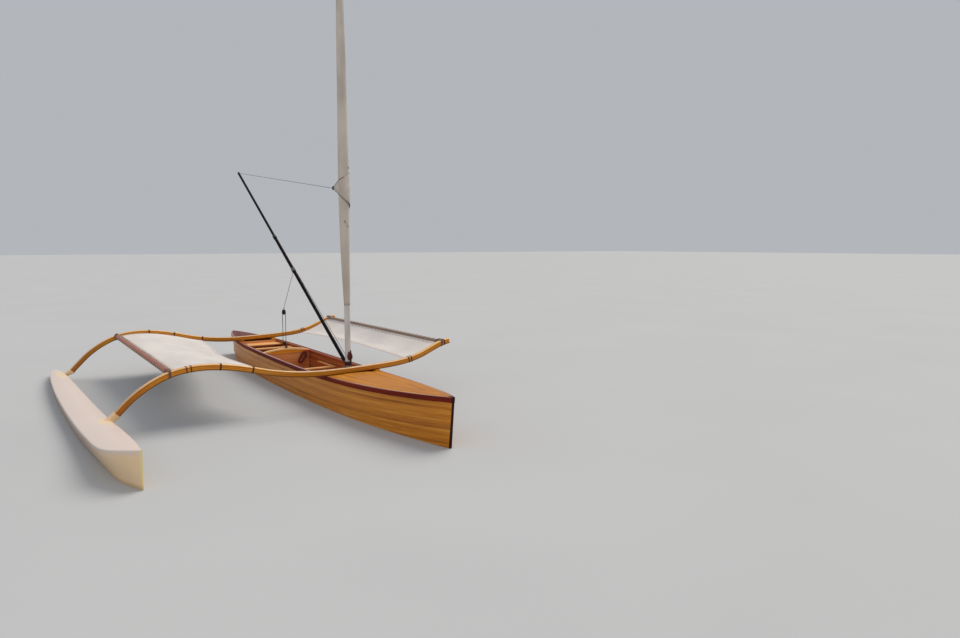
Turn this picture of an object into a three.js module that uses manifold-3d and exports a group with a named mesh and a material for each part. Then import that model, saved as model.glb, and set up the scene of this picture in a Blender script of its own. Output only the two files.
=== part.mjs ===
// Sailing outrigger canoe, afloat, with its sail rolled on the mast.
// Millimetres. +X is forward, +Y is port, +Z is up.
// The origin is on the hull's centreline, at the waterline, under the front crossbeam.

import Module from "manifold-3d";
import * as THREE from "three";
import { mergeVertices } from "three/addons/utils/BufferGeometryUtils.js";

const wasm = await Module();
wasm.setup();

// Driving dimensions of the main hull

const FRONT_BEAM_X = 0;
const REAR_BEAM_X = -3715;
const BOW_X = 2180;
const STERN_X = -5050;
const BOW_TOP_X = 2263;
const BOW_WATER_X = 2205;
const SHEER_LOW_X = -1000;
const SHEER_LOW_Z = 373;
const SHEER_BOW_Z = 490;
const SHEER_STERN_Z = 396;
const WALL = 10;
const GAP = 0.3;
const SIDE_CLEAR = 0.8;

// Rails along the gunwale

const RAIL_DEPTH = 45;
const RAIL_WIDTH = 22;
const RAIL_PROUD = 8;
const INWALE_DEPTH = 28;
const INWALE_WIDTH = 20;
const INWALE_END_CLEAR = 40;

// Stem and stern post

const STEM_FOOT = 8;
const STEM_EDGE_HALF = 7;
const STEM_LEVELS = [0, 120, 250, 380];
const POST_FOOT = 5;
const POST_MIDDLE_Z = 180;
const POST_REACH = 45;
const POST_OVERHANG = 20;
const POST_EDGE_HALF = 6;

// Bulkheads and openings of the cockpit

const FORE_BULKHEAD_X = 100;
const COCKPIT_BULKHEAD_X = -2350;
const AFT_BULKHEAD_X = -3660;
const BULKHEAD_THICK = 12;
const COCKPIT_FRONT_X = -300;
const FOREDECK_AFT_X = 60;
const STERN_DECK_FRONT_X = -3780;
const FORE_BULKHEAD_DROP = 12;
const AFT_BULKHEAD_DROP = 2;
const ARCH_WIDE = 46;
const ARCH_RISE = 42;
const ARCH_SEAT = 4;
const ARCH_STEPS = 8;
const DECK_THICK = 7;
const FOREDECK_CROWN = 16;

// Thwarts and seat. Columns: name, aft and fore edge, underside and top.

const CROSS_PLATES = [
  ["fore_thwart", -1420, -1370, 236, 258],
  ["aft_thwart", -3020, -2950, 328, 350],
  ["aft_seat", -3640, -3390, 330, 350],
];
const RISER_AFT_X = -1960;
const RISER_WIDE = 26;

// Floor of the cockpit

const BEARER_TOP = -82;
const BEARER_TALL = 24;
const BEARER_HALF = 20;
const FLOOR_BEARERS_X = [-2000, -700];
const FLOOR_SLATS_Y = [-150, 0, 150];
const SLAT_HALF = 65;
const SLAT_THICK = 12;
const SLAT_END_CLEAR = 60;

// Mast partner and step

const PARTNER_FRONT_X = -40;
const PARTNER_THICK = 24;
const PARTNER_CLEAR = 0.9;
const STEP_HALF = 100;

// Crossbeams, which run from the port tip over the hull to the float

const BEAM_TALL = 68;
const BEAM_WIDE = 60;
const BEAM_CHAMFER = 8;
const FRONT_BEAM_FLOAT_Y = -2558;
const REAR_BEAM_FLOAT_Y = -2640;
const BEAM_PORT_Y = 1296;
const BEAM_STEPS = 40;
const SOCKET_WALL = 8;
const SOCKET_REACH = 115;
const CHOCK_HALF = 40;
const CHOCK_WIDE = 60;
const CHOCK_CLEAR = 1;
const FLOAT_CROWN = 0.08;

// Mast, rolled sail and boom

const MAST_X = -150;
const MAST_RAKE = THREE.MathUtils.degToRad(0.5);
const MAST_RADIUS = 34;
const MAST_TIP_RADIUS = 17;
const MAST_TAPER_Z = 1150;
const MAST_TOP_Z = 6250;
const MAST_FOOT_Z = -70;
const PARTNER_Z = 400;
const PIVOT_X = -222;
const PIVOT_Z = 490;
const BOOM_ANGLE = THREE.MathUtils.degToRad(31.2);
const BOOM_LENGTH = 4945;
const BOOM_JOINT = 2970;
const BOOM_START = 42;
const BOOM_RADIUS = 22;
const BOOM_UPPER_RADIUS = 18;
const COLLAR_TALL = 50;
const COLLAR_WALL = 9;
const LUG_HALF = 7;
const LUG_REACH = 12;
const LUG_TALL = 28;
const JAW_NEAR = 7.6;
const JAW_FAR = 15;
const JAW_HALF_TALL = 15;
const JAW_NOSE = 14;
const BAND_LONG = 60;
const BAND_WALL = 5;
const BAND_BACK = 40;
const STROP_PLACE = 2040;
const STROP_LONG = 70;
const STROP_WALL = 7;
const BOOM_END_LONG = 45;
const BOOM_END_HALF_WIDE = 14;
const BOOM_END_HALF_TALL = 16;
const MAST_CLEAT = { low: 520, high: 640, half: 14, reach: 26 };

// Spars of the two nets

const FLOAT_SPAR_Y = -2030;
const FLOAT_SPAR_Z = 588;
const FLOAT_SPAR_RADIUS = 30;
const PORT_SPAR_Y = 1195;
const PORT_SPAR_Z = 680;
const PORT_SPAR_RADIUS = 20;
const NET_THICK = 5;
const NET_DROP = 33;
const NET_SAG = 22;
const NET_ROWS = 10;
const NET_COLUMNS = 8;
const LASHING_THICK = 7;
const LASHING_LONG = 60;
const LASHING_PLACE = 45;

// Fittings at the arched beam: anchor of the sheet, cleat, and the line that hangs on the cleat

const ANCHOR_HALF = [20, 22];
const ANCHOR_TALL = 34;
const CLEAT_REACH = 34;
const CLEAT_Y = [246, 300];
const CLEAT_Z = [352, 382];
const HANK_DEEP = 42;
const HANK_RADIUS = 50;
const HANK_TOP_Y = 246;
const HANK_LOW_Y = 196;
const HANK_LOW_Z = 176;

// Hull sections. Columns: x, half width at the gunwale, half width at the waterline, keel height.

const HULL_ROWS = [
  { x: -5050, gunwale: 22, waterline: 16, keel: 40 },
  { x: -4900, gunwale: 72, waterline: 55, keel: -20 },
  { x: -4650, gunwale: 135, waterline: 112, keel: -68 },
  { x: -4350, gunwale: 196, waterline: 172, keel: -102 },
  { x: -4000, gunwale: 250, waterline: 228, keel: -126 },
  { x: -3400, gunwale: 312, waterline: 294, keel: -148 },
  { x: -2600, gunwale: 343, waterline: 330, keel: -160 },
  { x: -1600, gunwale: 354, waterline: 346, keel: -166 },
  { x: -800, gunwale: 352, waterline: 345, keel: -166 },
  { x: 0, gunwale: 330, waterline: 322, keel: -162 },
  { x: 700, gunwale: 288, waterline: 278, keel: -152 },
  { x: 1250, gunwale: 222, waterline: 210, keel: -138 },
  { x: 1700, gunwale: 143, waterline: 132, keel: -120 },
  { x: 2000, gunwale: 78, waterline: 68, keel: -100 },
  { x: 2180, gunwale: 27, waterline: 22, keel: -84 },
];

const HULL_STATIONS = [
  -5050, -4900, -4650, -4350, -4000, -3660, -3400, -3100, -2700, -2350, -2000, -1600, -1200,
  -800, -400, -150, 100, 400, 700, 1000, 1250, 1500, 1700, 1850, 2000, 2180,
];

// Float sections. Columns: x, inboard and outboard deck edge, how far the waterline lies inside
// the deck edge, deck height, keel height.

const FLOAT_ROWS = [
  { x: -4250, inboard: -2783, outboard: -2817, inset: 4, deck: 92, keel: 40 },
  { x: -4100, inboard: -2752, outboard: -2845, inset: 12, deck: 104, keel: -20 },
  { x: -3700, inboard: -2722, outboard: -2886, inset: 16, deck: 124, keel: -70 },
  { x: -3100, inboard: -2692, outboard: -2918, inset: 20, deck: 138, keel: -96 },
  { x: -2100, inboard: -2662, outboard: -2938, inset: 28, deck: 147, keel: -112 },
  { x: -1000, inboard: -2624, outboard: -2930, inset: 32, deck: 152, keel: -118 },
  { x: 0, inboard: -2586, outboard: -2908, inset: 42, deck: 170, keel: -118 },
  { x: 650, inboard: -2562, outboard: -2891, inset: 66, deck: 202, keel: -112 },
  { x: 1240, inboard: -2562, outboard: -2872, inset: 96, deck: 245, keel: -98 },
  { x: 1550, inboard: -2576, outboard: -2832, inset: 92, deck: 276, keel: -84 },
  { x: 1770, inboard: -2594, outboard: -2712, inset: 40, deck: 302, keel: -66 },
  { x: 1900, inboard: -2606, outboard: -2618, inset: 1, deck: 320, keel: -48 },
];

const FLOAT_STATIONS = [
  -4250, -4180, -4100, -3900, -3700, -3400, -3100, -2600, -2100, -1550, -1000, -500, 0, 325, 650,
  950, 1240, 1400, 1550, 1670, 1770, 1840, 1900,
];

// Top edge of a crossbeam. Columns: y, z.

const BEAM_ROWS = [
  { y: -2700, z: 88 },
  { y: -2575, z: 229 },
  { y: -2410, z: 393 },
  { y: -2220, z: 524 },
  { y: -2020, z: 611 },
  { y: -1830, z: 647 },
  { y: -1620, z: 650 },
  { y: -1410, z: 625 },
  { y: -1200, z: 581 },
  { y: -985, z: 528 },
  { y: -770, z: 490 },
  { y: -530, z: 467 },
  { y: -295, z: 462 },
  { y: 50, z: 471 },
  { y: 360, z: 485 },
  { y: 600, z: 506 },
  { y: 758, z: 535 },
  { y: 890, z: 574 },
  { y: 1034, z: 635 },
  { y: 1183, z: 696 },
  { y: 1296, z: 722 },
];

// Rolled sail. Columns: height, radius. The clew makes it fattest at half its visible height.

const SAIL_ROWS = [
  { z: 1180, radius: 40 },
  { z: 1500, radius: 49 },
  { z: 1950, radius: 59 },
  { z: 2400, radius: 66 },
  { z: 2800, radius: 67 },
  { z: 3400, radius: 60 },
  { z: 4200, radius: 49 },
  { z: 5100, radius: 37 },
  { z: 6120, radius: 24 },
];

// Materials

function paint(color, roughness, metalness = 0) {
  return new THREE.MeshStandardMaterial({ color, roughness, metalness });
}

const CEDAR = paint(0xb5722f, 0.3);
const DECK_CEDAR = paint(0xc98a35, 0.28);
const MAHOGANY = paint(0x5e2413, 0.32);
const PALE_WOOD = paint(0xd9ae6c, 0.4);
const BEAM_WOOD = paint(0xcd8c2f, 0.3);
const SPAR_WOOD = paint(0xa8654a, 0.5);
const FLOAT_WHITE = paint(0xe6dccb, 0.35);
const SOCKET_CREAM = paint(0xe3c483, 0.45);
const NET_WHITE = paint(0xe9e7e3, 0.85);
const SAIL_CLOTH = paint(0xcfc7b6, 0.8);
const MAST_ALLOY = paint(0xd8d8d4, 0.4, 0.4);
const CARBON = paint(0x121214, 0.3);
const FITTING = paint(0x1b1b1d, 0.5);
const CORD_RED = paint(0x5a1620, 0.85);
const CLEAT_RED = paint(0xb33a1c, 0.45);

// Smooth curve through the rows of a table, by cubic Hermite pieces

function alongTable(rows, column, key = "x") {
  const slope = (i) => {
    const before = rows[Math.max(i - 1, 0)];
    const after = rows[Math.min(i + 1, rows.length - 1)];
    return (after[column] - before[column]) / (after[key] - before[key]);
  };
  return (position) => {
    let i = rows.findIndex((row) => row[key] >= position);
    i = i < 0 ? rows.length - 1 : Math.max(i, 1);
    const low = rows[i - 1];
    const high = rows[i];
    const span = high[key] - low[key];
    const t = (position - low[key]) / span;
    const keepLow = (1 + 2 * t) * (1 - t) ** 2;
    const keepHigh = t ** 2 * (3 - 2 * t);
    const turnLow = t * (1 - t) ** 2 * span;
    const turnHigh = t ** 2 * (t - 1) * span;
    const bend = slope(i - 1) * turnLow + slope(i) * turnHigh;
    return low[column] * keepLow + high[column] * keepHigh + bend;
  };
}

// Closed solid from points and triangles, turned so that its faces point outwards

function solid(points, triangles) {
  let volume = 0;
  for (const [a, b, c] of triangles) {
    volume += points[a].dot(points[b].clone().cross(points[c]));
  }
  const ordered = volume > 0 ? triangles : triangles.map(([a, b, c]) => [a, c, b]);
  const geometry = new THREE.BufferGeometry();
  geometry.setAttribute(
    "position",
    new THREE.Float32BufferAttribute(points.flatMap((point) => point.toArray()), 3),
  );
  geometry.setIndex(ordered.flat());
  geometry.computeVertexNormals();
  return geometry;
}

// Solid between two grids of points that share their size, such as a shell's outside and inside

function thickSheet(outer, inner) {
  const rows = outer.length;
  const columns = outer[0].length;
  const points = [...outer.flat(), ...inner.flat()];
  const at = (side, i, j) => side * rows * columns + i * columns + j;
  const triangles = [];
  const quad = (a, b, c, d) => triangles.push([a, b, c], [a, c, d]);
  for (let i = 0; i < rows - 1; i++) {
    for (let j = 0; j < columns - 1; j++) {
      quad(at(0, i, j), at(0, i + 1, j), at(0, i + 1, j + 1), at(0, i, j + 1));
      triangles.push([at(1, i, j), at(1, i + 1, j + 1), at(1, i + 1, j)]);
      triangles.push([at(1, i, j), at(1, i, j + 1), at(1, i + 1, j + 1)]);
    }
  }
  const last = rows - 1;
  const edge = columns - 1;
  for (let j = 0; j < edge; j++) {
    quad(at(0, 0, j), at(0, 0, j + 1), at(1, 0, j + 1), at(1, 0, j));
    quad(at(0, last, j + 1), at(0, last, j), at(1, last, j), at(1, last, j + 1));
  }
  for (let i = 0; i < last; i++) {
    quad(at(0, i + 1, 0), at(0, i, 0), at(1, i, 0), at(1, i + 1, 0));
    quad(at(0, i, edge), at(0, i + 1, edge), at(1, i + 1, edge), at(1, i, edge));
  }
  return solid(points, triangles);
}

// Solid through a row of closed sections that share their number of points

function loft(sections) {
  const sides = sections[0].length;
  const points = sections.flat();
  const triangles = [];
  for (let i = 0; i < sections.length - 1; i++) {
    for (let j = 0; j < sides; j++) {
      const a = i * sides + j;
      const b = i * sides + ((j + 1) % sides);
      triangles.push([a, b, b + sides], [a, b + sides, a + sides]);
    }
  }
  const last = (sections.length - 1) * sides;
  for (let j = 1; j < sides - 1; j++) {
    triangles.push([0, j + 1, j], [last, last + j, last + j + 1]);
  }
  return solid(points, triangles);
}

const point = (x, y, z) => new THREE.Vector3(x, y, z);

const lerp = THREE.MathUtils.lerp;

const canoe = new THREE.Group();
const raked = new THREE.Group();
const rig = new THREE.Group();
const boom = new THREE.Group();

function add(name, geometry, material, parent = canoe) {
  const mesh = new THREE.Mesh(geometry, material);
  mesh.name = name;
  parent.add(mesh);
  return mesh;
}

function box(name, low, high, material, parent = canoe) {
  const geometry = new THREE.BoxGeometry(high[0] - low[0], high[1] - low[1], high[2] - low[2]);
  const mesh = add(name, geometry, material, parent);
  mesh.position.set((low[0] + high[0]) / 2, (low[1] + high[1]) / 2, (low[2] + high[2]) / 2);
  return mesh;
}

// Outline in the YZ plane, drawn out along X and centred on x

function slabAcross(outline, x, thickness) {
  const shape = new THREE.Shape(outline.map(([y, z]) => new THREE.Vector2(y, z)));
  const geometry = new THREE.ExtrudeGeometry(shape, { depth: thickness, bevelEnabled: false });
  const turn = new THREE.Matrix4().makeBasis(point(0, 1, 0), point(0, 0, 1), point(1, 0, 0));
  geometry.applyMatrix4(turn);
  geometry.translate(x - thickness / 2, 0, 0);
  return geometry;
}

// Main hull

function sheer(x) {
  if (x > SHEER_LOW_X) {
    const t = (x - SHEER_LOW_X) / (BOW_TOP_X - SHEER_LOW_X);
    return SHEER_LOW_Z + (SHEER_BOW_Z - SHEER_LOW_Z) * t ** 2;
  }
  const t = (SHEER_LOW_X - x) / (SHEER_LOW_X - STERN_X);
  return SHEER_LOW_Z + (SHEER_STERN_Z - SHEER_LOW_Z) * t ** 2;
}

const gunwaleHalf = alongTable(HULL_ROWS, "gunwale");
const waterlineHalf = alongTable(HULL_ROWS, "waterline");
const keelHeight = alongTable(HULL_ROWS, "keel");

// Half a hull section from the gunwale down to the keel. Points 0, 1 and 2 bound the two rails.

function halfSection(x, inset = 0) {
  const top = sheer(x);
  const wide = gunwaleHalf(x);
  const water = waterlineHalf(x);
  const keel = keelHeight(x);
  const middle = [lerp(water, wide, 0.5) + 0.02 * water, lerp(keel, top, 0.62)];
  const side = (z) => lerp(middle[0], wide, (z - middle[1]) / (top - middle[1]));
  const outer = [
    [wide, top],
    [side(top - INWALE_DEPTH), top - INWALE_DEPTH],
    [side(top - RAIL_DEPTH), top - RAIL_DEPTH],
    middle,
    [water, lerp(keel, top, 0.29)],
    [0.86 * water, lerp(keel, top, 0.13)],
    [0.52 * water, lerp(keel, top, 0.035)],
    [0, keel],
  ];
  const lift = [0, 0, 0, 0, 0.25, 0.7, 0.95, 1.05];
  const pull = [1, 1, 1, 1, 0.97, 0.7, 0.3, 0];
  return outer.map(([y, z], k) => [Math.max(y - inset * pull[k], 0), z + inset * lift[k]]);
}

// The section at any x, straight between the two stations beside it, as the shell's faces are

function sectionAt(x, inset = 0) {
  let i = HULL_STATIONS.findIndex((station) => station >= x);
  i = Math.max(i, 1);
  const low = HULL_STATIONS[i - 1];
  const t = (x - low) / (HULL_STATIONS[i] - low);
  const before = halfSection(low, inset);
  const after = halfSection(HULL_STATIONS[i], inset);
  return before.map(([y, z], k) => [lerp(y, after[k][0], t), lerp(z, after[k][1], t)]);
}

function fullSection(x, inset = 0) {
  const half = sectionAt(x, inset);
  const starboard = half.map(([y, z]) => point(x, -y, z));
  const port = half.slice(0, -1).reverse().map(([y, z]) => point(x, y, z));
  return [...starboard, ...port];
}

function insideHalf(x, z) {
  const half = sectionAt(x, WALL);
  const k = half.findIndex(([, height]) => height <= z);
  const [above, below] = [half[k - 1], half[k]];
  return lerp(below[0], above[0], (z - below[1]) / (above[1] - below[1]));
}

function stationsBetween(from, to) {
  return [from, ...HULL_STATIONS.filter((x) => x > from && x < to), to];
}

// Highest point of the gunwale between two places

function rimTop(from, to) {
  return Math.max(...stationsBetween(from, to).map((x) => sectionAt(x)[0][1]));
}

function addHullShell() {
  const outside = HULL_STATIONS.map((x) => fullSection(x));
  const inside = HULL_STATIONS.map((x) => fullSection(x, WALL));
  add("hull_shell", thickSheet(outside, inside), CEDAR);
}

function addStem() {
  const foot = keelHeight(BOW_X) + STEM_FOOT;
  const levels = [foot, ...STEM_LEVELS, SHEER_BOW_Z + RAIL_PROUD];
  const back = BOW_X + GAP;
  const sections = levels.map((z) => {
    const share = Math.max(z, 0) / SHEER_BOW_Z;
    const half = lerp(waterlineHalf(BOW_X), gunwaleHalf(BOW_X), share);
    const front = lerp(BOW_WATER_X, BOW_TOP_X, share);
    return [
      point(back, half, z),
      point(back, -half, z),
      point(front, -STEM_EDGE_HALF, z),
      point(front, STEM_EDGE_HALF, z),
    ];
  });
  add("bow_stem", loft(sections), MAHOGANY);
}

function addSternPost() {
  const levels = [keelHeight(STERN_X) + POST_FOOT, POST_MIDDLE_Z, SHEER_STERN_Z + RAIL_PROUD];
  const front = STERN_X - GAP;
  const sections = levels.map((z, k) => {
    const share = k / (levels.length - 1);
    const half = lerp(waterlineHalf(STERN_X), gunwaleHalf(STERN_X), share);
    const back = front - POST_REACH - POST_OVERHANG * share;
    return [
      point(front, half, z),
      point(front, -half, z),
      point(back, -POST_EDGE_HALF, z),
      point(back, POST_EDGE_HALF, z),
    ];
  });
  add("stern_post", loft(sections), MAHOGANY);
}

// A rail that follows the gunwale, outside the wall or inside it

function railSections(stations, side, nearY, width, depthIndex, proud) {
  return stations.map((x) => {
    const face = sectionAt(x).slice(0, depthIndex + 1);
    const [top, low] = [face[0], face[depthIndex]];
    const outline = [
      ...face.map(([y, z]) => [y + nearY, z]),
      [low[0] + nearY + width, low[1]],
      [top[0] + nearY + width, top[1] + proud],
    ];
    if (proud > 0) {
      outline.push([top[0] + nearY, top[1] + proud]);
    }
    const turned = side > 0 ? outline.reverse() : outline;
    return turned.map(([y, z]) => point(x, side * y, z));
  });
}

function addRails() {
  for (const [name, side] of [["port", 1], ["starboard", -1]]) {
    const outside = railSections(HULL_STATIONS, side, GAP, RAIL_WIDTH, 2, RAIL_PROUD);
    add(`rub_rail_${name}`, loft(outside), MAHOGANY);
    const stretches = [
      ["aft", AFT_BULKHEAD_X + INWALE_END_CLEAR, COCKPIT_BULKHEAD_X - INWALE_END_CLEAR],
      ["fore", COCKPIT_BULKHEAD_X + INWALE_END_CLEAR, COCKPIT_FRONT_X - 10],
    ];
    for (const [place, from, to] of stretches) {
      const inside = railSections(stationsBetween(from, to), side, -WALL - GAP, -INWALE_WIDTH, 1, 0);
      add(`inwale_${place}_${name}`, loft(inside), MAHOGANY);
    }
  }
}

// A deck laid over the rim, flat below and crowned on top

function deckGrids(stations, crown) {
  const across = [-1, -0.8, -0.4, 0, 0.4, 0.8, 1];
  const wide = gunwaleHalf(0);
  const grid = (height) =>
    stations.map((x) => {
      const [half, top] = sectionAt(x)[0];
      return across.map((t) => point(x, t * half, top + height(t, half / wide)));
    });
  const topSide = grid((t, share) => DECK_THICK + crown * share * (1 - t * t));
  const underSide = grid(() => GAP);
  return [topSide, underSide];
}

function addDecks() {
  const fore = stationsBetween(FOREDECK_AFT_X, BOW_X);
  add("foredeck", thickSheet(...deckGrids(fore, FOREDECK_CROWN)), DECK_CEDAR);
  const stern = stationsBetween(STERN_X, STERN_DECK_FRONT_X);
  add("stern_deck", thickSheet(...deckGrids(stern, FOREDECK_CROWN)), MAHOGANY);
}

// A plate that closes the hull's inside from the given height down to the keel

function bulkheadSections(x, thickness, topZ) {
  return [x - thickness / 2, x + thickness / 2].map((face) => {
    const half = sectionAt(face, WALL + SIDE_CLEAR).filter(([, z]) => z < topZ);
    const edge = insideHalf(face, topZ) - SIDE_CLEAR;
    const port = [[edge, topZ], ...half];
    const starboard = port.slice(0, -1).reverse().map(([y, z]) => [-y, z]);
    return [...port, ...starboard].map(([y, z]) => point(face, y, z));
  });
}

function addBulkheads() {
  const plates = [
    ["fore_bulkhead", FORE_BULKHEAD_X, sheer(FORE_BULKHEAD_X) - FORE_BULKHEAD_DROP],
    ["cockpit_bulkhead", COCKPIT_BULKHEAD_X, SHEER_LOW_Z - INWALE_DEPTH],
    ["aft_bulkhead", AFT_BULKHEAD_X, sheer(AFT_BULKHEAD_X) - AFT_BULKHEAD_DROP],
  ];
  for (const [name, x, top] of plates) {
    add(name, loft(bulkheadSections(x, BULKHEAD_THICK, top)), DECK_CEDAR);
  }
}

// The curved beam on the cockpit bulkhead

function addArchedBeam() {
  const half = insideHalf(COCKPIT_BULKHEAD_X, SHEER_LOW_Z - 5) - 1;
  const low = SHEER_LOW_Z - INWALE_DEPTH + GAP;
  const crown = (t) => SHEER_LOW_Z + ARCH_SEAT + ARCH_RISE * (1 - t ** 2);
  const spots = Array.from({ length: ARCH_STEPS + 1 }, (_, k) => 1 - (2 * k) / ARCH_STEPS);
  const outline = [[-half, low], [half, low], ...spots.map((t) => [t * half, crown(t)])];
  add("arched_beam", slabAcross(outline, COCKPIT_BULKHEAD_X, ARCH_WIDE), PALE_WOOD);
}

// Cross plates that reach from one hull side to the other

function crossPlate(name, fromX, toX, lowZ, highZ, material) {
  const sections = [fromX, toX].map((x) => {
    const low = Math.min(insideHalf(x, lowZ), insideHalf(x, highZ)) - SIDE_CLEAR;
    return [point(x, low, lowZ), point(x, low, highZ), point(x, -low, highZ), point(x, -low, lowZ)];
  });
  add(name, loft(sections), material);
}

function addCockpitFurniture() {
  for (const [name, fromX, toX, lowZ, highZ] of CROSS_PLATES) {
    crossPlate(name, fromX, toX, lowZ, highZ, PALE_WOOD);
  }
  for (const [k, x] of FLOOR_BEARERS_X.entries()) {
    const low = BEARER_TOP - BEARER_TALL;
    crossPlate(`floor_bearer_${k + 1}`, x - BEARER_HALF, x + BEARER_HALF, low, BEARER_TOP, CEDAR);
  }
  for (const [k, y] of FLOOR_SLATS_Y.entries()) {
    const low = [COCKPIT_BULKHEAD_X + SLAT_END_CLEAR, y - SLAT_HALF, BEARER_TOP + GAP];
    const high = [COCKPIT_FRONT_X - SLAT_END_CLEAR, y + SLAT_HALF, BEARER_TOP + GAP + SLAT_THICK];
    box(`floor_slat_${k + 1}`, low, high, PALE_WOOD);
  }
  const [, thwartAft, , lowZ, highZ] = CROSS_PLATES[0];
  for (const [name, side] of [["port", 1], ["starboard", -1]]) {
    const sections = stationsBetween(RISER_AFT_X, thwartAft - 1).map((x) => {
      const wall = Math.min(insideHalf(x, lowZ), insideHalf(x, highZ)) - SIDE_CLEAR;
      const inner = wall - RISER_WIDE;
      const outline = [[wall, lowZ], [wall, highZ], [inner, highZ], [inner, lowZ]];
      return outline.map(([y, z]) => point(x, side * y, z));
    });
    add(`seat_riser_${name}`, loft(sections), PALE_WOOD);
  }
}

// Plate across the gunwales with the mast's hole in it

function addMastPartner() {
  const [front, back] = [PARTNER_FRONT_X, COCKPIT_FRONT_X];
  const shape = new THREE.Shape([
    new THREE.Vector2(back, -sectionAt(back)[0][0]),
    new THREE.Vector2(front, -sectionAt(front)[0][0]),
    new THREE.Vector2(front, sectionAt(front)[0][0]),
    new THREE.Vector2(back, sectionAt(back)[0][0]),
  ]);
  const hole = new THREE.Path().absarc(MAST_X, 0, MAST_RADIUS + PARTNER_CLEAR, 0, 2 * Math.PI, true);
  shape.holes.push(hole);
  const settings = { depth: PARTNER_THICK, bevelEnabled: false, curveSegments: 24 };
  const mesh = add("mast_partner", new THREE.ExtrudeGeometry(shape, settings), MAHOGANY);
  mesh.position.z = rimTop(back, front) + GAP;
}

function addMastStep() {
  const sections = [MAST_X - STEP_HALF, MAST_X + STEP_HALF].map((x) => {
    const half = sectionAt(x, WALL + SIDE_CLEAR);
    const [side, keel] = [half[6], half[7]];
    const top = MAST_FOOT_Z - GAP;
    return [
      point(x, side[0], side[1]),
      point(x, side[0], top),
      point(x, -side[0], top),
      point(x, -side[0], side[1]),
      point(x, 0, keel[1]),
    ];
  });
  add("mast_step", loft(sections), MAHOGANY);
}

// Crossbeams

const beamTop = alongTable(BEAM_ROWS, "z", "y");

function beamFrame(y) {
  const step = 2;
  const rise = (beamTop(y) - beamTop(y - step)) / step;
  const length = Math.hypot(1, rise);
  return { z: beamTop(y), along: [1 / length, rise / length], down: [rise / length, -1 / length] };
}

function beamUnder(y) {
  const { z, down } = beamFrame(y);
  return z - BEAM_TALL / -down[1];
}

function addCrossbeam(name, centreX, floatEndY) {
  const half = BEAM_WIDE / 2;
  const edge = BEAM_CHAMFER;
  const outline = [
    [-half + edge, 0],
    [half - edge, 0],
    [half, edge],
    [half, BEAM_TALL - edge],
    [half - edge, BEAM_TALL],
    [-half + edge, BEAM_TALL],
    [-half, BEAM_TALL - edge],
    [-half, edge],
  ];
  const sections = [];
  for (let k = 0; k <= BEAM_STEPS; k++) {
    const y = lerp(floatEndY, BEAM_PORT_Y, k / BEAM_STEPS);
    const { z, down } = beamFrame(y);
    const place = ([x, drop]) => point(centreX + x, y + down[0] * drop, z + down[1] * drop);
    sections.push(outline.map(place));
  }
  add(name, loft(sections), BEAM_WOOD);
}

// Blocks that carry each crossbeam on the gunwales

function addChocks(place, x) {
  for (const [name, side] of [["port", 1], ["starboard", -1]]) {
    const half = Math.min(sectionAt(x - CHOCK_HALF)[0][0], sectionAt(x + CHOCK_HALF)[0][0]);
    const nearY = side * (half - CHOCK_WIDE);
    const farY = side * half;
    const seat = rimTop(x - CHOCK_HALF, x + CHOCK_HALF) + GAP;
    const outline = [
      [nearY, seat],
      [farY, seat],
      [farY, beamUnder(farY) - CHOCK_CLEAR],
      [nearY, beamUnder(nearY) - CHOCK_CLEAR],
    ];
    const ordered = side > 0 ? outline : outline.reverse();
    add(`${place}_chock_${name}`, slabAcross(ordered, x, 2 * CHOCK_HALF), BEAM_WOOD);
  }
}

// Float

const inboardEdge = alongTable(FLOAT_ROWS, "inboard");
const outboardEdge = alongTable(FLOAT_ROWS, "outboard");
const floatInset = alongTable(FLOAT_ROWS, "inset");
const floatDeck = alongTable(FLOAT_ROWS, "deck");
const floatKeel = alongTable(FLOAT_ROWS, "keel");

function floatSection(x) {
  const [inner, outer, inset] = [inboardEdge(x), outboardEdge(x), floatInset(x)];
  const [deck, keel] = [floatDeck(x), floatKeel(x)];
  const centre = (inner + outer) / 2;
  const half = (inner - outer) / 2;
  const crown = FLOAT_CROWN * half;
  const low = Math.max(0, keel + 0.4 * (deck - keel));
  return [
    point(x, inner, deck),
    point(x, centre, deck + crown),
    point(x, outer, deck),
    point(x, outer + inset, low),
    point(x, centre - 0.72 * (half - inset), lerp(keel, low, 0.35)),
    point(x, centre, keel),
    point(x, centre + 0.72 * (half - inset), lerp(keel, low, 0.35)),
    point(x, inner - inset, low),
  ];
}

function addFloat() {
  const geometry = loft(FLOAT_STATIONS.map(floatSection));
  add("float", geometry, FLOAT_WHITE);
  return geometry;
}

// Sockets that take the crossbeam ends, each a block cut to fit the float's deck and inboard edge

function toManifold(geometry) {
  const bare = geometry.clone();
  bare.deleteAttribute("normal");
  bare.deleteAttribute("uv");
  const merged = mergeVertices(bare);
  return new wasm.Manifold(
    new wasm.Mesh({
      numProp: 3,
      vertProperties: merged.attributes.position.array,
      triVerts: new Uint32Array(merged.index.array),
    }),
  );
}

function fromManifold(manifold) {
  const { vertProperties, triVerts } = manifold.getMesh();
  const geometry = new THREE.BufferGeometry();
  geometry.setAttribute("position", new THREE.BufferAttribute(vertProperties, 3));
  geometry.setIndex(new THREE.BufferAttribute(triVerts, 1));
  geometry.computeVertexNormals();
  return geometry;
}

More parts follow.
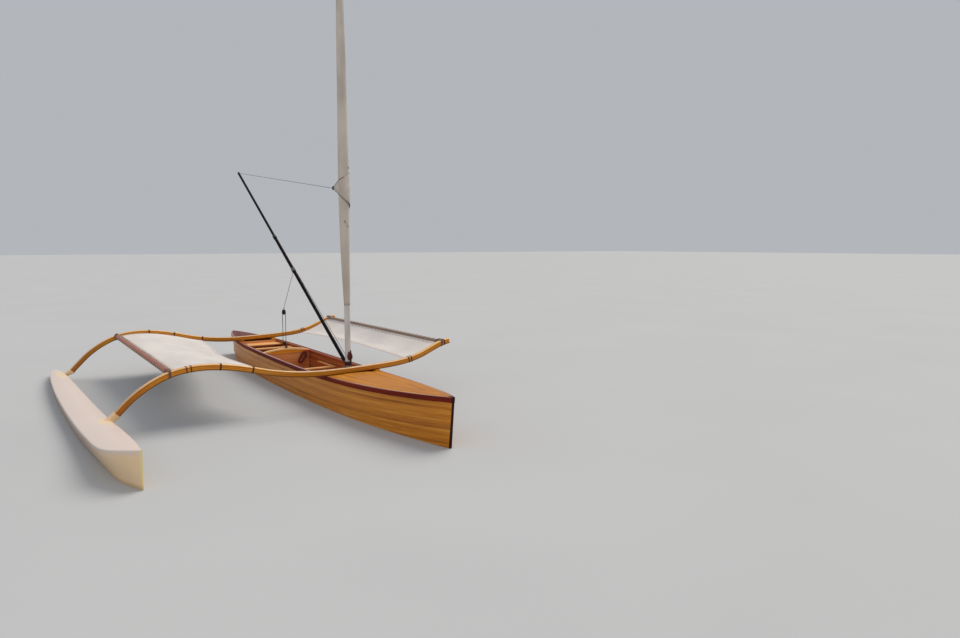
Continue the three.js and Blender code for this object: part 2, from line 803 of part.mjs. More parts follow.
function addSocket(name, x, beamEndY, floatGeometry) {
  const { z, along, down } = beamFrame(beamEndY);
  const half = BEAM_WIDE / 2 + SOCKET_WALL;
  const ends = [GAP, SOCKET_REACH].map((reach) => {
    const y = beamEndY - along[0] * reach;
    const top = z - along[1] * reach;
    const corner = (side, drop) => point(x + side * half, y + down[0] * drop, top + down[1] * drop);
    const low = BEAM_TALL + SOCKET_WALL;
    return [corner(-1, -SOCKET_WALL), corner(1, -SOCKET_WALL), corner(1, low), corner(-1, low)];
  });
  const raised = toManifold(floatGeometry.clone().translate(0, 0, GAP));
  const inward = toManifold(floatGeometry.clone().translate(0, GAP, 0));
  add(name, fromManifold(toManifold(loft(ends)).subtract(raised).subtract(inward)), SOCKET_CREAM);
}

// Round rod between two points

const ROUND_SIDES = 24;

function rod(name, from, to, radius, material, parent = canoe) {
  const length = from.distanceTo(to);
  const geometry = new THREE.CylinderGeometry(radius, radius, length, ROUND_SIDES);
  const mesh = add(name, geometry, material, parent);
  mesh.position.copy(from.clone().lerp(to, 0.5));
  mesh.quaternion.setFromUnitVectors(point(0, 1, 0), to.clone().sub(from).normalize());
  return mesh;
}

// Ring around a rod of the given radius, centred on a place and turned to an axis

function ring(name, centre, axis, rodRadius, wall, length, material, parent = canoe) {
  const inner = rodRadius + GAP;
  const outer = rodRadius + wall;
  const profile = [
    new THREE.Vector2(inner, -length / 2),
    new THREE.Vector2(outer, -length / 2),
    new THREE.Vector2(outer, length / 2),
    new THREE.Vector2(inner, length / 2),
    new THREE.Vector2(inner, -length / 2),
  ];
  const mesh = add(name, new THREE.LatheGeometry(profile, ROUND_SIDES), material, parent);
  mesh.position.copy(centre);
  mesh.quaternion.setFromUnitVectors(point(0, 1, 0), axis);
  return mesh;
}

function addNetSpars() {
  const clear = BEAM_WIDE / 2 + GAP;
  const ends = [REAR_BEAM_X + clear, FRONT_BEAM_X - clear];
  const spars = [
    ["float_side_spar", FLOAT_SPAR_Y, FLOAT_SPAR_Z, FLOAT_SPAR_RADIUS],
    ["port_spar", PORT_SPAR_Y, PORT_SPAR_Z, PORT_SPAR_RADIUS],
  ];
  for (const [name, y, z, radius] of spars) {
    rod(name, point(ends[0], y, z), point(ends[1], y, z), radius, SPAR_WOOD);
    const places = [["rear", ends[0] + LASHING_PLACE], ["front", ends[1] - LASHING_PLACE]];
    for (const [place, x] of places) {
      const title = `${name}_lashing_${place}`;
      ring(title, point(x, y, z), point(1, 0, 0), radius, LASHING_THICK, LASHING_LONG, CORD_RED);
    }
  }
}

// Nets between the crossbeams. Columns: share of the way aft, inboard edge.

const FLOAT_NET_EDGE = [
  { share: 0, y: -1000 },
  { share: 0.15, y: -1150 },
  { share: 0.35, y: -1220 },
  { share: 0.6, y: -1115 },
  { share: 0.85, y: -945 },
  { share: 1, y: -870 },
];

const PORT_NET_EDGE = [
  { share: 0, y: 650 },
  { share: 0.25, y: 790 },
  { share: 0.5, y: 840 },
  { share: 0.75, y: 800 },
  { share: 1, y: 705 },
];

function addNet(name, edgeRows, sparY, towardHull) {
  const edge = alongTable(edgeRows, "y", "share");
  const clear = BEAM_WIDE / 2 + GAP;
  const front = FRONT_BEAM_X - clear;
  const back = REAR_BEAM_X + clear;
  const grid = (height) =>
    Array.from({ length: NET_ROWS + 1 }, (_row, i) => {
      const share = i / NET_ROWS;
      const x = lerp(front, back, share);
      return Array.from({ length: NET_COLUMNS + 1 }, (_column, j) => {
        const over = j / NET_COLUMNS;
        const y = lerp(sparY + towardHull, edge(share), over);
        const sag = NET_SAG * Math.sin(Math.PI * share) * Math.sin(Math.PI * over);
        return point(x, y, beamTop(y) - NET_DROP - sag + height);
      });
    });
  add(name, thickSheet(grid(NET_THICK), grid(0)), NET_WHITE);
}

// Fittings at the arched beam. The hank hangs aslant under the cleat, with round ends.

function addFittings() {
  const crownTop = SHEER_LOW_Z + ARCH_SEAT + ARCH_RISE + GAP;
  const [long, wide] = ANCHOR_HALF;
  const anchorLow = [COCKPIT_BULKHEAD_X - long, -wide, crownTop];
  const anchorHigh = [COCKPIT_BULKHEAD_X + long, wide, crownTop + ANCHOR_TALL];
  box("sheet_anchor", anchorLow, anchorHigh, FITTING);
  const face = COCKPIT_BULKHEAD_X + ARCH_WIDE / 2 + GAP;
  const cleatLow = [face, CLEAT_Y[0], CLEAT_Z[0]];
  const cleatHigh = [face + CLEAT_REACH, CLEAT_Y[1], CLEAT_Z[1]];
  box("line_cleat", cleatLow, cleatHigh, CLEAT_RED);
  const top = [HANK_TOP_Y, CLEAT_Z[0] - GAP - HANK_RADIUS];
  const low = [HANK_LOW_Y, HANK_LOW_Z + HANK_RADIUS];
  const slant = Math.atan2(top[0] - low[0], top[1] - low[1]);
  const outline = [];
  for (const [centre, start] of [[top, 0], [low, Math.PI]]) {
    for (let k = 0; k <= 8; k++) {
      const angle = start - slant + (Math.PI * k) / 8;
      const y = centre[0] + HANK_RADIUS * Math.cos(angle);
      outline.push([y, centre[1] + HANK_RADIUS * Math.sin(angle)]);
    }
  }
  add("line_hank", slabAcross(outline, face + HANK_DEEP / 2, HANK_DEEP), CORD_RED);
}

// Mast, which turns on its step, with what turns with it

function mastRadius(z) {
  if (z <= MAST_TAPER_Z) {
    return MAST_RADIUS;
  }
  return lerp(MAST_RADIUS, MAST_TIP_RADIUS, (z - MAST_TAPER_Z) / (MAST_TOP_Z - MAST_TAPER_Z));
}

function turned(name, profile, material) {
  const outline = profile.map(([radius, z]) => new THREE.Vector2(radius, z));
  const geometry = new THREE.LatheGeometry(outline, ROUND_SIDES);
  geometry.rotateX(Math.PI / 2);
  const mesh = add(name, geometry, material, rig);
  mesh.position.x = MAST_X;
}

function addMast() {
  turned("mast_tube", [
    [0, MAST_FOOT_Z],
    [MAST_RADIUS, MAST_FOOT_Z],
    [MAST_RADIUS, MAST_TAPER_Z],
    [MAST_TIP_RADIUS, MAST_TOP_Z],
    [0, MAST_TOP_Z],
  ], MAST_ALLOY);
  const sailRadius = alongTable(SAIL_ROWS, "radius", "z");
  const [low, high] = [SAIL_ROWS[0].z, SAIL_ROWS.at(-1).z];
  const heights = Array.from({ length: 13 }, (_, k) => lerp(low, high, k / 12));
  const outside = heights.map((z) => [sailRadius(z), z]);
  const inside = [[mastRadius(high) + 0.6, high], [mastRadius(low) + 0.6, low]];
  turned("furled_sail", [...outside, ...inside, outside[0]], SAIL_CLOTH);
  const face = MAST_X + MAST_RADIUS;
  const cleatLow = [face + GAP, -MAST_CLEAT.half, MAST_CLEAT.low];
  const cleatHigh = [face + MAST_CLEAT.reach, MAST_CLEAT.half, MAST_CLEAT.high];
  box("mast_cleat", cleatLow, cleatHigh, FITTING, rig);
}

// Collar with its lug, on which the boom lifts

function addGooseneck() {
  const centre = point(MAST_X, 0, PIVOT_Z);
  const up = point(0, 0, 1);
  ring("gooseneck_collar", centre, up, MAST_RADIUS, COLLAR_WALL, COLLAR_TALL, FITTING, rig);
  const lugFront = MAST_X - MAST_RADIUS - COLLAR_WALL - GAP;
  const low = [PIVOT_X - LUG_REACH, -LUG_HALF, PIVOT_Z - LUG_TALL / 2];
  const high = [lugFront, LUG_HALF, PIVOT_Z + LUG_TALL / 2];
  box("gooseneck_lug", low, high, FITTING, rig);
}

// Boom, modelled straight aft from its pivot and then lifted to its rest angle

function addBoom() {
  boom.position.set(PIVOT_X, 0, PIVOT_Z);
  boom.rotation.y = BOOM_ANGLE + MAST_RAKE;
  const aft = (s) => point(-s, 0, 0);
  const axis = point(-1, 0, 0);
  for (const [name, side] of [["port", 1], ["starboard", -1]]) {
    const faces = [side * JAW_NEAR, side * JAW_FAR];
    const low = [-BOOM_START - 0.2, Math.min(...faces), -JAW_HALF_TALL];
    const high = [JAW_NOSE, Math.max(...faces), JAW_HALF_TALL];
    box(`boom_jaw_${name}`, low, high, FITTING, boom);
  }
  rod("boom_lower", aft(BOOM_START + GAP), aft(BOOM_JOINT), BOOM_RADIUS, CARBON, boom);
  rod("boom_upper", aft(BOOM_JOINT + GAP), aft(BOOM_LENGTH), BOOM_UPPER_RADIUS, CARBON, boom);
  const bandPlace = aft(BOOM_JOINT - BAND_BACK);
  ring("boom_joint_band", bandPlace, axis, BOOM_RADIUS, BAND_WALL, BAND_LONG, FITTING, boom);
  ring("sheet_strop", aft(STROP_PLACE), axis, BOOM_RADIUS, STROP_WALL, STROP_LONG, FITTING, boom);
  const endLow = [-BOOM_LENGTH - BOOM_END_LONG, -BOOM_END_HALF_WIDE, -BOOM_END_HALF_TALL];
  const endHigh = [-BOOM_LENGTH - GAP, BOOM_END_HALF_WIDE, BOOM_END_HALF_TALL];
  box("boom_end_fitting", endLow, endHigh, FITTING, boom);
}

addHullShell();
addStem();
addSternPost();
addRails();
addDecks();
addBulkheads();
addArchedBeam();
addCockpitFurniture();
addMastPartner();
addMastStep();
addCrossbeam("front_crossbeam", FRONT_BEAM_X, FRONT_BEAM_FLOAT_Y);
addCrossbeam("rear_crossbeam", REAR_BEAM_X, REAR_BEAM_FLOAT_Y);
addChocks("front", FRONT_BEAM_X);
addChocks("rear", REAR_BEAM_X);
const floatForm = addFloat();
addSocket("front_socket", FRONT_BEAM_X, FRONT_BEAM_FLOAT_Y, floatForm);
addSocket("rear_socket", REAR_BEAM_X, REAR_BEAM_FLOAT_Y, floatForm);
addNetSpars();
addNet("float_side_net", FLOAT_NET_EDGE, FLOAT_SPAR_Y, FLOAT_SPAR_RADIUS + LASHING_THICK + GAP);
addNet("port_net", PORT_NET_EDGE, PORT_SPAR_Y, -PORT_SPAR_RADIUS - LASHING_THICK - GAP);
addFittings();
addMast();
addGooseneck();
addBoom();
rig.add(boom);
rig.position.set(-MAST_X, 0, -PARTNER_Z);
raked.position.set(MAST_X, 0, PARTNER_Z);
raked.rotation.y = -MAST_RAKE;
raked.add(rig);
canoe.add(raked);

export default canoe;
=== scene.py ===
"""A sailing outrigger canoe, afloat, with its sail rolled on the mast.

Metres. +X is forward, +Y is port, +Z is up, and z = 0 is the waterline. Every piece is made in place
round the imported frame. The camera and the one free cord are made first.
"""

import math

import bmesh
import bpy
import numpy as np
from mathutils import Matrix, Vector
from mathutils.bvhtree import BVHTree


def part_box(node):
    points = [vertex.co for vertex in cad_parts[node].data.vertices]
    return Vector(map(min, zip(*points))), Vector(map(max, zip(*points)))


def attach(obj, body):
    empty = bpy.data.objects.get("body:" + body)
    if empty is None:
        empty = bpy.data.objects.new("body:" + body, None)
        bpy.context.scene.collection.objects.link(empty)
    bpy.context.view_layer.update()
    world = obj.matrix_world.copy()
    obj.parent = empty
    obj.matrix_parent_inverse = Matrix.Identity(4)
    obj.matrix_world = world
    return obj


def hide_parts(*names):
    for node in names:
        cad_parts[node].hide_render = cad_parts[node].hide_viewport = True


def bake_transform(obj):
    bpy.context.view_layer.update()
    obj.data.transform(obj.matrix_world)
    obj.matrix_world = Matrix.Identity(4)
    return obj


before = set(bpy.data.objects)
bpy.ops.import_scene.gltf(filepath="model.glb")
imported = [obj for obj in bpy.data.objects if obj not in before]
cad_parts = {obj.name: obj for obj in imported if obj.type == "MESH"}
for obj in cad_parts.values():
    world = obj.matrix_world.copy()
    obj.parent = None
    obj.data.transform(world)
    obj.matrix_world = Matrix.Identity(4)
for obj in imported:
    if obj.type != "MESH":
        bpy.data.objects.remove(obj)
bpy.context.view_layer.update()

# Camera, at the photograph's viewing angle

PHOTO_WIDE_PX = 960
FOCAL_PX = 739.3
HORIZON_DROP_PX = 74.5
SENSOR_MM = 36.0
CAMERA_PLACE = (7.989, -3.520, 1.900)
CAMERA_HEADING = math.radians(146.396)


def add_object(name, data):
    """New object in the scene."""
    thing = bpy.data.objects.new(name, data)
    bpy.context.scene.collection.objects.link(thing)
    return thing


def set_camera():
    """Camera that sees the canoe as the photograph does."""
    data = bpy.data.cameras.new("camera")
    data.sensor_width = SENSOR_MM
    data.lens = FOCAL_PX / PHOTO_WIDE_PX * SENSOR_MM
    data.clip_end = 400
    eye = add_object("camera", data)
    eye.location = CAMERA_PLACE
    level = Vector((math.cos(CAMERA_HEADING), math.sin(CAMERA_HEADING), 0))
    look = level * FOCAL_PX - Vector((0, 0, HORIZON_DROP_PX))
    eye.rotation_euler = look.to_track_quat("-Z", "Y").to_euler()
    bpy.context.scene.camera = eye


set_camera()

# Node trees, written as sums on sockets


def both_ways(operation):
    """An operator and its reflected form. Each adds a Math node."""

    def operator(swapped):
        def added(self, other=0.0):
            pair = (other, self) if swapped else (self, other)
            return self.bench.node("ShaderNodeMath", dict(enumerate(pair)), operation=operation)

        return added

    return operator(False), operator(True)


class Value:
    """An output of a node, on which sums are written as on numbers."""

    __add__, __radd__ = both_ways("ADD")
    __sub__, __rsub__ = both_ways("SUBTRACT")
    __mul__, __rmul__ = both_ways("MULTIPLY")
    __truediv__, __rtruediv__ = both_ways("DIVIDE")
    __pow__, __rpow__ = both_ways("POWER")
    __abs__ = both_ways("ABSOLUTE")[0]
    whole = both_ways("FLOOR")[0]
    part = both_ways("FRACT")[0]
    sine = both_ways("SINE")[0]
    cosine = both_ways("COSINE")[0]
    above = both_ways("GREATER_THAN")[0]
    at_least = both_ways("MAXIMUM")[0]

    def __init__(self, bench, output):
        self.bench, self.output = bench, output

    def ramped(self, low, high):
        """From 0 at low to 1 at high, smoothly; low may be the larger."""
        settings = {"interpolation_type": "SMOOTHSTEP"}
        return self.bench.node("ShaderNodeMapRange", {0: self, 1: low, 2: high, 3: 0.0, 4: 1.0}, **settings)


def tint(code):
    """Linear colour of a hexadecimal one."""
    parts = [int(code[k : k + 2], 16) / 255 for k in (1, 3, 5)]
    linear = [c / 12.92 if c <= 0.04045 else ((c + 0.055) / 1.055) ** 2.4 for c in parts]
    return (*linear, 1.0)


class Bench:
    """Makes the nodes of one tree."""

    def __init__(self, tree):
        self.tree = tree
        tree.nodes.clear()

    def node(self, kind, inputs=None, output=0, stops=None, **settings):
        """A node from its type, its settings, and the values, colour codes or links of its sockets."""
        made = self.tree.nodes.new(kind)
        for key, value in settings.items():
            setattr(made, key, value)
        if stops:
            row = made.color_ramp.elements
            while len(row) < len(stops):
                row.new(0.5)
            for element, (place, code) in zip(row, stops):
                element.position, element.color = place, tint(code)
        for key, value in (inputs or {}).items():
            if isinstance(value, Value):
                self.tree.links.new(value.output, made.inputs[key])
            else:
                made.inputs[key].default_value = tint(value) if str(value).startswith("#") else value
        return Value(self, made.outputs[output]) if len(made.outputs) else None

    def mix(self, share, first, second):
        """Colour between two colours."""
        return self.node("ShaderNodeMix", {0: share, 6: first, 7: second}, 2, data_type="RGBA")

    def noise(self, place, scale=1.0, detail=3.0):
        """Noise at a place, given as its three numbers."""
        vector = self.node("ShaderNodeCombineXYZ", dict(enumerate(place)))
        return self.node("ShaderNodeTexNoise", {"Vector": vector, "Scale": scale, "Detail": detail})


class Finish(Bench):
    """A material in the making: its tree, and the places that its pattern reads."""

    def __init__(self, name):
        self.material = bpy.data.materials.new(name)
        self.material.use_nodes = True
        super().__init__(self.material.node_tree)

    def axes(self):
        """X, Y and Z of the piece's own coordinates."""
        split = self.node("ShaderNodeSeparateXYZ", {0: self.node("ShaderNodeTexCoord", output="Object")})
        return [Value(self, out) for out in split.output.node.outputs]

    def own(self, name):
        """A length that the piece carries at its points: along it or across it."""
        settings = {"attribute_name": name, "attribute_type": "GEOMETRY"}
        return self.node("ShaderNodeAttribute", output="Fac", **settings)

    def close(self, colour, roughness, height=None, depth=0.001, shine=0.3, **fixed):
        """Ends the tree in its shader. Height stands out by depth, and fixed values go on the sockets."""
        inputs = {"Base Color": colour, "Roughness": roughness, "Specular IOR Level": shine}
        if height is not None:
            bump = {"Height": height, "Distance": depth, "Strength": 1.0}
            inputs["Normal"] = self.node("ShaderNodeBump", bump)
        inputs.update({key.replace("_", " ").title(): value for key, value in fixed.items()})
        self.node("ShaderNodeOutputMaterial", {"Surface": self.node("ShaderNodeBsdfPrincipled", inputs)})
        return self.material


# Woods. Tones run from dark to light, and strips of a width are laid side by side.

SEAM_TONE = "#4a2a12"
LOW_PAINTED_SHADE_TONE = "#743208"
STRIP = 0.0235
DECK_STRIP = 0.030
STERN_STRIP = 0.060
LAMINATION = 0.0083
# A painted highlight along the rub rails' top edge, where the varnish would catch the sky.
RAIL_PAINTED_HIGHLIGHT = [(0.0, 0.003, "#c09080", 0.4)]
# Bands on the beams by drop from the top: a painted highlight on the top edge, a dark glue line, and painted
# shade along the underside.
BEAM_HIGHLIGHT_GLUE_LINE_SHADE = [(0.0, 0.012, "#ffd996", 0.6), (0.021, 0.007, "#6a2c08", 0.5), (0.068, 0.020, "#4a1c06", 0.7)]
MAHOGANY = "#360c05 #50160a #661f0d #7c2c14 #903c20"
PALE = "#bc7a3c #d49252 #e2a868 #ecb87e #f2c896"
GOLDEN = "#a2520d #c8741a #e08e24 #eeac38 #fac05c"


def wood(name, tones, grain="X", strip=None, gloss=0.4, coat=0.06, spread=0.34, crest=0, bands=(), low=0):
    """Varnished wood, whose grain runs along an axis, or along the piece's own lengths where grain is "own".

    Down to crest from a piece's upper edge the varnish shines like glass. Each band is its middle, its half
    width, its colour and how much that covers. Below the height low, the wood darkens by degrees: painted
    shade.
    """
    made = Finish(name)
    axes = dict(zip("XYZ", made.axes()))
    height = axes["Z"]
    if grain == "own":
        length, width = made.own("along"), made.own("across")
        deep = height * 0.4
    else:
        length = axes.pop(grain)
        width, deep = axes.values()
    place, tone = length, 0.5
    if strip:
        number = (width / strip).whole()
        chance = made.node("ShaderNodeTexWhiteNoise", {"W": number}, noise_dimensions="1D")
        place = length + chance * 37
        tone = (chance - 0.5) * spread + tone
    broad = made.noise((place * 0.8, width * 7, deep * 7), detail=2.0)
    figure = made.noise((place * 0.5, width * 22, deep * 22), detail=1.0) * 7
    rings = abs(figure.part() - 0.5) * 2
    streaks = made.noise((place * 5, width * 260, deep * 260))
    tone = (broad - 0.5) * 0.9 + (rings - 0.5) * 0.14 + (streaks - 0.5) * 0.45 + tone
    codes = tones.split()
    stops = [(k / (len(codes) - 1), code) for k, code in enumerate(codes)]
    colour = made.node("ShaderNodeValToRGB", {"Fac": tone}, stops=stops)
    relief = streaks * 0.35 + rings * 0.15
    if strip:
        seam = abs((width / strip).part() - 0.5).ramped(0.45, 0.5)
        colour = made.mix(seam * 0.45, colour, SEAM_TONE)
        relief = relief - seam * 0.5
    for middle, half, code, share in bands:
        colour = made.mix(abs(width - middle).ramped(half, half * 0.7) * share, colour, code)
    if low:
        # Painted shade on the lower parts.
        colour = made.mix(height.ramped(low, low * 0.5) * 0.45, colour, LOW_PAINTED_SHADE_TONE)
    if crest:
        coat = width.ramped(crest, crest * 0.6) * (1.0 - coat) + coat
    rough = streaks * 0.12 + broad * 0.08 + gloss
    return made.close(colour, rough, relief, 0.00012, shine=0.16, coat_weight=coat, coat_roughness=0.15)


hull_cedar = wood(
    "cedar_strips_varnished", "#7c4210 #a66218 #c47a20 #d69234 #e6aa4c", "own", STRIP, 0.34, 0.12, 0.27
)
hull_inside = wood("cedar_strips_inside", "#6e3418 #8e4a26 #a45a32 #b66c40 #c68050", "own", STRIP)
deck_cedar = wood(
    "deck_strips_varnished", "#84480c #a0600e #b87414 #c88620 #d69a36", "own", DECK_STRIP, spread=0.24
)
inside_cedar = wood("inside_cedar", "#985030 #bc7042 #d08652 #de9a62 #e8ac78", "Y")
web_wood = wood("arched_beam_web_wood", GOLDEN, "Y")
mahogany = wood("mahogany_varnished", MAHOGANY, coat=0.2)
inwale_mahogany = wood("inwale_mahogany", "#5a2410 #7c381c #964a2a #a85a36 #b86c44", coat=0.35)
rail_mahogany = wood(
    "rail_mahogany",
    "#3c0a02 #561404 #6e1c06 #84290c #983814",
    "own",
    gloss=0.6,
    coat=0.0,
    crest=0.004,
    bands=RAIL_PAINTED_HIGHLIGHT,
)
stem_mahogany = wood("stem_mahogany", "#1c0805 #2a0e08 #381510", "Z", coat=0.02)
mahogany_across = wood("mahogany_across", MAHOGANY, "Y")
mahogany_upright = wood("mahogany_upright", MAHOGANY.rsplit(" ", 1)[0], "Z")
stern_mahogany = wood("stern_deck_mahogany", MAHOGANY, "own", STERN_STRIP)
pale_wood = wood("pale_wood", PALE)
pale_wood_across = wood("pale_wood_across", PALE, "Y")
# The beams darken below 0.62 m as painted shade on their arms by the float.
beam_wood = wood("laminated_beam_wood", GOLDEN, "own", LAMINATION, 0.3, 0.12, 0.6, 0.012, BEAM_HIGHLIGHT_GLUE_LINE_SHADE, 0.62)
arch_wood = wood("arched_beam_cap_wood", "#e8aa68 #f2c080 #f8d094 #fcdaa4", "Y")
block_wood = wood("block_wood", GOLDEN, "Y")
float_spar_wood = wood("float_side_spar_wood", "#78402f #985a48 #b06e5a #c6846e", gloss=0.5)
port_spar_wood = wood("port_spar_wood", "#65503f #86705f #a08a78 #b49e8c", gloss=0.5)

# Paint, resin, cloth, carbon, fittings and line

STEM_PAINT_X = 1.890
RESIN_PATCHES = [(0.10, -2.645, 0.24, 0.085), (-3.42, -2.755, 0.44, 0.085)]
THREAD = 0.0024
TWILL = 0.004
BRAID = 0.006
TURN = 2 * math.pi


def float_paint():
    """Off-white deck, resin run out round the sockets, and a yellow line on the stem. The sides carry
    painted
    shade and a painted reflection: darker and greyer than the deck aft, going to a cream tint at the bow.
    """
    made = Finish("float_paint")
    x, y, z = made.axes()
    clouds = made.noise((x, y, z), 1.2, 2.0)
    peel = made.noise((x, y, z), 260.0, 2.0)
    deck = made.mix(clouds, "#d8c8c0", "#dccfc8")
    # Painted shade and reflection on the sides: grey-brown aft, cream towards the bow.
    side = made.mix(x.ramped(0.2, 1.6), "#b09c92", "#e8caa3")
    colour = made.mix(made.own("across").ramped(0.002, 0.060), deck, side)
    for patch_x, patch_y, long, wide in RESIN_PATCHES:
        ragged = (abs(x - patch_x) / long) ** 2.0 + (abs(y - patch_y) / wide) ** 2.0 + clouds * 0.4
        colour = made.mix(ragged.ramped(1.1, 0.7) * 0.6, colour, "#ecd3a0")
    colour = made.mix(x.ramped(STEM_PAINT_X - 0.002, STEM_PAINT_X), colour, "#ecd590")
    wet = z.ramped(0.05, 0.005) * (clouds * 0.5 + 0.35)
    colour = made.mix(wet, colour, "#a8916c")
    rough = clouds * 0.1 + wet * 0.2 + 0.36
    return made.close(colour, rough, peel, 0.0001, coat_weight=0.1, coat_roughness=0.2)


def socket_resin():
    """Cream glass-fibre sleeve with the brush marks of its last coat."""
    made = Finish("socket_resin")
    x, y, z = made.axes()
    cloth = made.noise((x, y, z), 900.0, 1.0)
    brush = made.noise((x * 220, y * 14, z * 14))
    colour = made.mix(brush.ramped(0.3, 0.7), "#e2bb8e", "#edcda6")
    return made.close(colour, brush * 0.2 + 0.36, brush * 0.6 + cloth * 0.4, 0.0003, coat_weight=0.1)


def woven(name, dark, light, soil, crease=0.0, rough=0.78):
    """Woven cloth. Threads and folds follow the piece's own lengths; soil is a faint stain."""
    made = Finish(name)
    warp, weft = made.own("along"), made.own("across")
    weave = (warp * (TURN / THREAD)).sine() * (weft * (TURN / THREAD)).sine()
    broad = made.noise((warp * 1.6, weft * 3.5, 0.0))
    fold = made.noise((warp * 2.2, weft * 26, 0.0))
    stain = made.noise((warp * 9, weft * 9, 3.0), detail=4.0).ramped(0.62, 0.8) * 0.3
    colour = made.mix(stain, made.mix(broad.ramped(0.3, 0.7), dark, light), soil)
    return made.close(colour, broad * 0.1 + rough, weave * 0.1 + fold * crease, 0.002, sheen_weight=0.15)


def mast_paint():
    """White, chalky paint with fine lengthwise marks and a few rubbed places."""
    made = Finish("mast_paint")
    x, y, z = made.axes()
    marks = made.noise((x * 240, y * 240, z * 3))
    clouds = made.noise((x * 6, y * 6, z * 3))
    colour = made.mix(clouds.ramped(0.3, 0.7), "#b4b2ae", "#cdcbc7")
    colour = made.mix(marks.ramped(0.62, 0.72) * 0.45, colour, "#8d8e90")
    return made.close(colour, clouds * 0.15 + 0.34, marks, 0.00015, coat_weight=0.15)


def carbon():
    """Black twill under clear resin."""
    made = Finish("carbon_twill")
    length, around = made.own("along"), made.own("across")
    diagonal = ((length + around) / TWILL).part() - ((length - around) / TWILL).part()
    twill = abs(diagonal).ramped(0.2, 0.6)
    scuffs = made.noise((length * 30, around * 90, 0.0), detail=4.0)
    colour = made.mix(twill, "#050508", "#0d0e13")
    colour = made.mix(scuffs.ramped(0.66, 0.8) * 0.4, colour, "#2a2b34")
    return made.close(colour, scuffs.ramped(0.5, 0.8) * 0.2 + 0.5, twill, 0.00006, shine=0.06)


def moulded(name, dark, light, metallic=0.0, rough=0.42):
    """Moulded or cast fitting, rubbed pale in patches."""
    made = Finish(name)
    place = made.axes()
    grit = made.noise(place, 700.0, 2.0)
    worn = made.noise(place, 60.0, 4.0)
    colour = made.mix(worn.ramped(0.45, 0.75), dark, light)
    return made.close(colour, worn * 0.2 + rough - 0.1, grit, 0.0002, metallic=metallic)


def braided(name, dark, light, fleck, pitch=BRAID):
    """Braided cord: strands cross along its own length."""
    made = Finish(name)
    length, around = made.own("along"), made.own("across")
    left = ((length / pitch + around * 3) * TURN).sine()
    right = ((length / pitch - around * 3) * TURN).sine()
    strands = left * right
    fibres = made.noise((length * 900, around * 40, 0.0), detail=2.0)
    flecks = ((length / pitch / 2 + around).part() - 0.5).above(0.38)
    colour = made.mix(flecks * 0.6, made.mix(strands.ramped(-0.8, 0.8), dark, light), fleck)
    return made.close(colour, fibres * 0.1 + 0.78, strands * 0.5 + fibres * 0.3, 0.0008, sheen_weight=0.2)


float_white, socket_cream, mast_white, carbon_black = float_paint(), socket_resin(), mast_paint(), carbon()
net_cloth = woven("net_cloth", "#cdc8c6", "#d9d5d2", "#b3aaa3", 0.25)
edging_cloth = woven("net_edging_cloth", "#cbc0bc", "#d8cec9", "#a8988f")
sail_cloth = woven("sail_cloth", "#b0a79c", "#cac1b7", "#8c8479", 0.8, 0.8)
patch_cloth = woven("sail_corner_cloth", "#3a3c40", "#54575c", "#26282b")
black_fitting = moulded("black_fitting", "#101113", "#2c2d30")
dark_red_fitting = moulded("dark_red_fitting", "#35100e", "#5e2420")
cleat_red_finish = moulded("red_cleat_finish", "#b83312", "#dd5a2c", rough=0.4)
bronze = moulded("bronze_screw_heads", "#6e4f2a", "#a98350", 0.9, 0.35)
steel = moulded("steel_ring", "#8a8c8e", "#b9bbbd", 0.95, 0.28)
red_line = braided("dark_red_line", "#400c0a", "#701d17", "#96463a")
lashing_line = braided("lashing_line", "#42140a", "#682818", "#7e3a24")
spar_lashing_line = braided("spar_lashing_line", "#5c4336", "#866a5a", "#a68a7a")
grey_line = braided("grey_line", "#3f4246", "#6c7076", "#8f949a")
dark_line = braided("dark_line", "#1f2124", "#3c3f44", "#63676d")
lace_line = braided("lacing_line", "#8d8078", "#b7aba3", "#d2c8c0", pitch=0.008)

# Pieces and their meshes

EASED_FROM = math.radians(32)


def lay(name, mesh, material):
    """New object that holds the mesh, in place."""
    mesh.materials.clear()
    mesh.materials.append(material)
    return add_object(name, mesh)


def place(thing, slot, body="canoe", node=None):
    """Rides a piece on its body and hides the CAD node that it stands for. slot is not used."""
    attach(thing, body)
    if node:
        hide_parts(node)
    return thing


def stand_in(node, mesh, material, slot, body="canoe"):
    """Piece that stands for a CAD node and is called after it."""
    return place(lay(node + "_made", mesh, material), slot, body, node)


def mesh_from(name, work, sharp_deg):
    """Mesh from a working one, smooth but for edges past an angle."""
    mesh = bpy.data.meshes.new(name)
    work.to_mesh(mesh)
    work.free()
    mesh.shade_smooth()
    mesh.set_sharp_from_angle(angle=math.radians(sharp_deg))
    return mesh


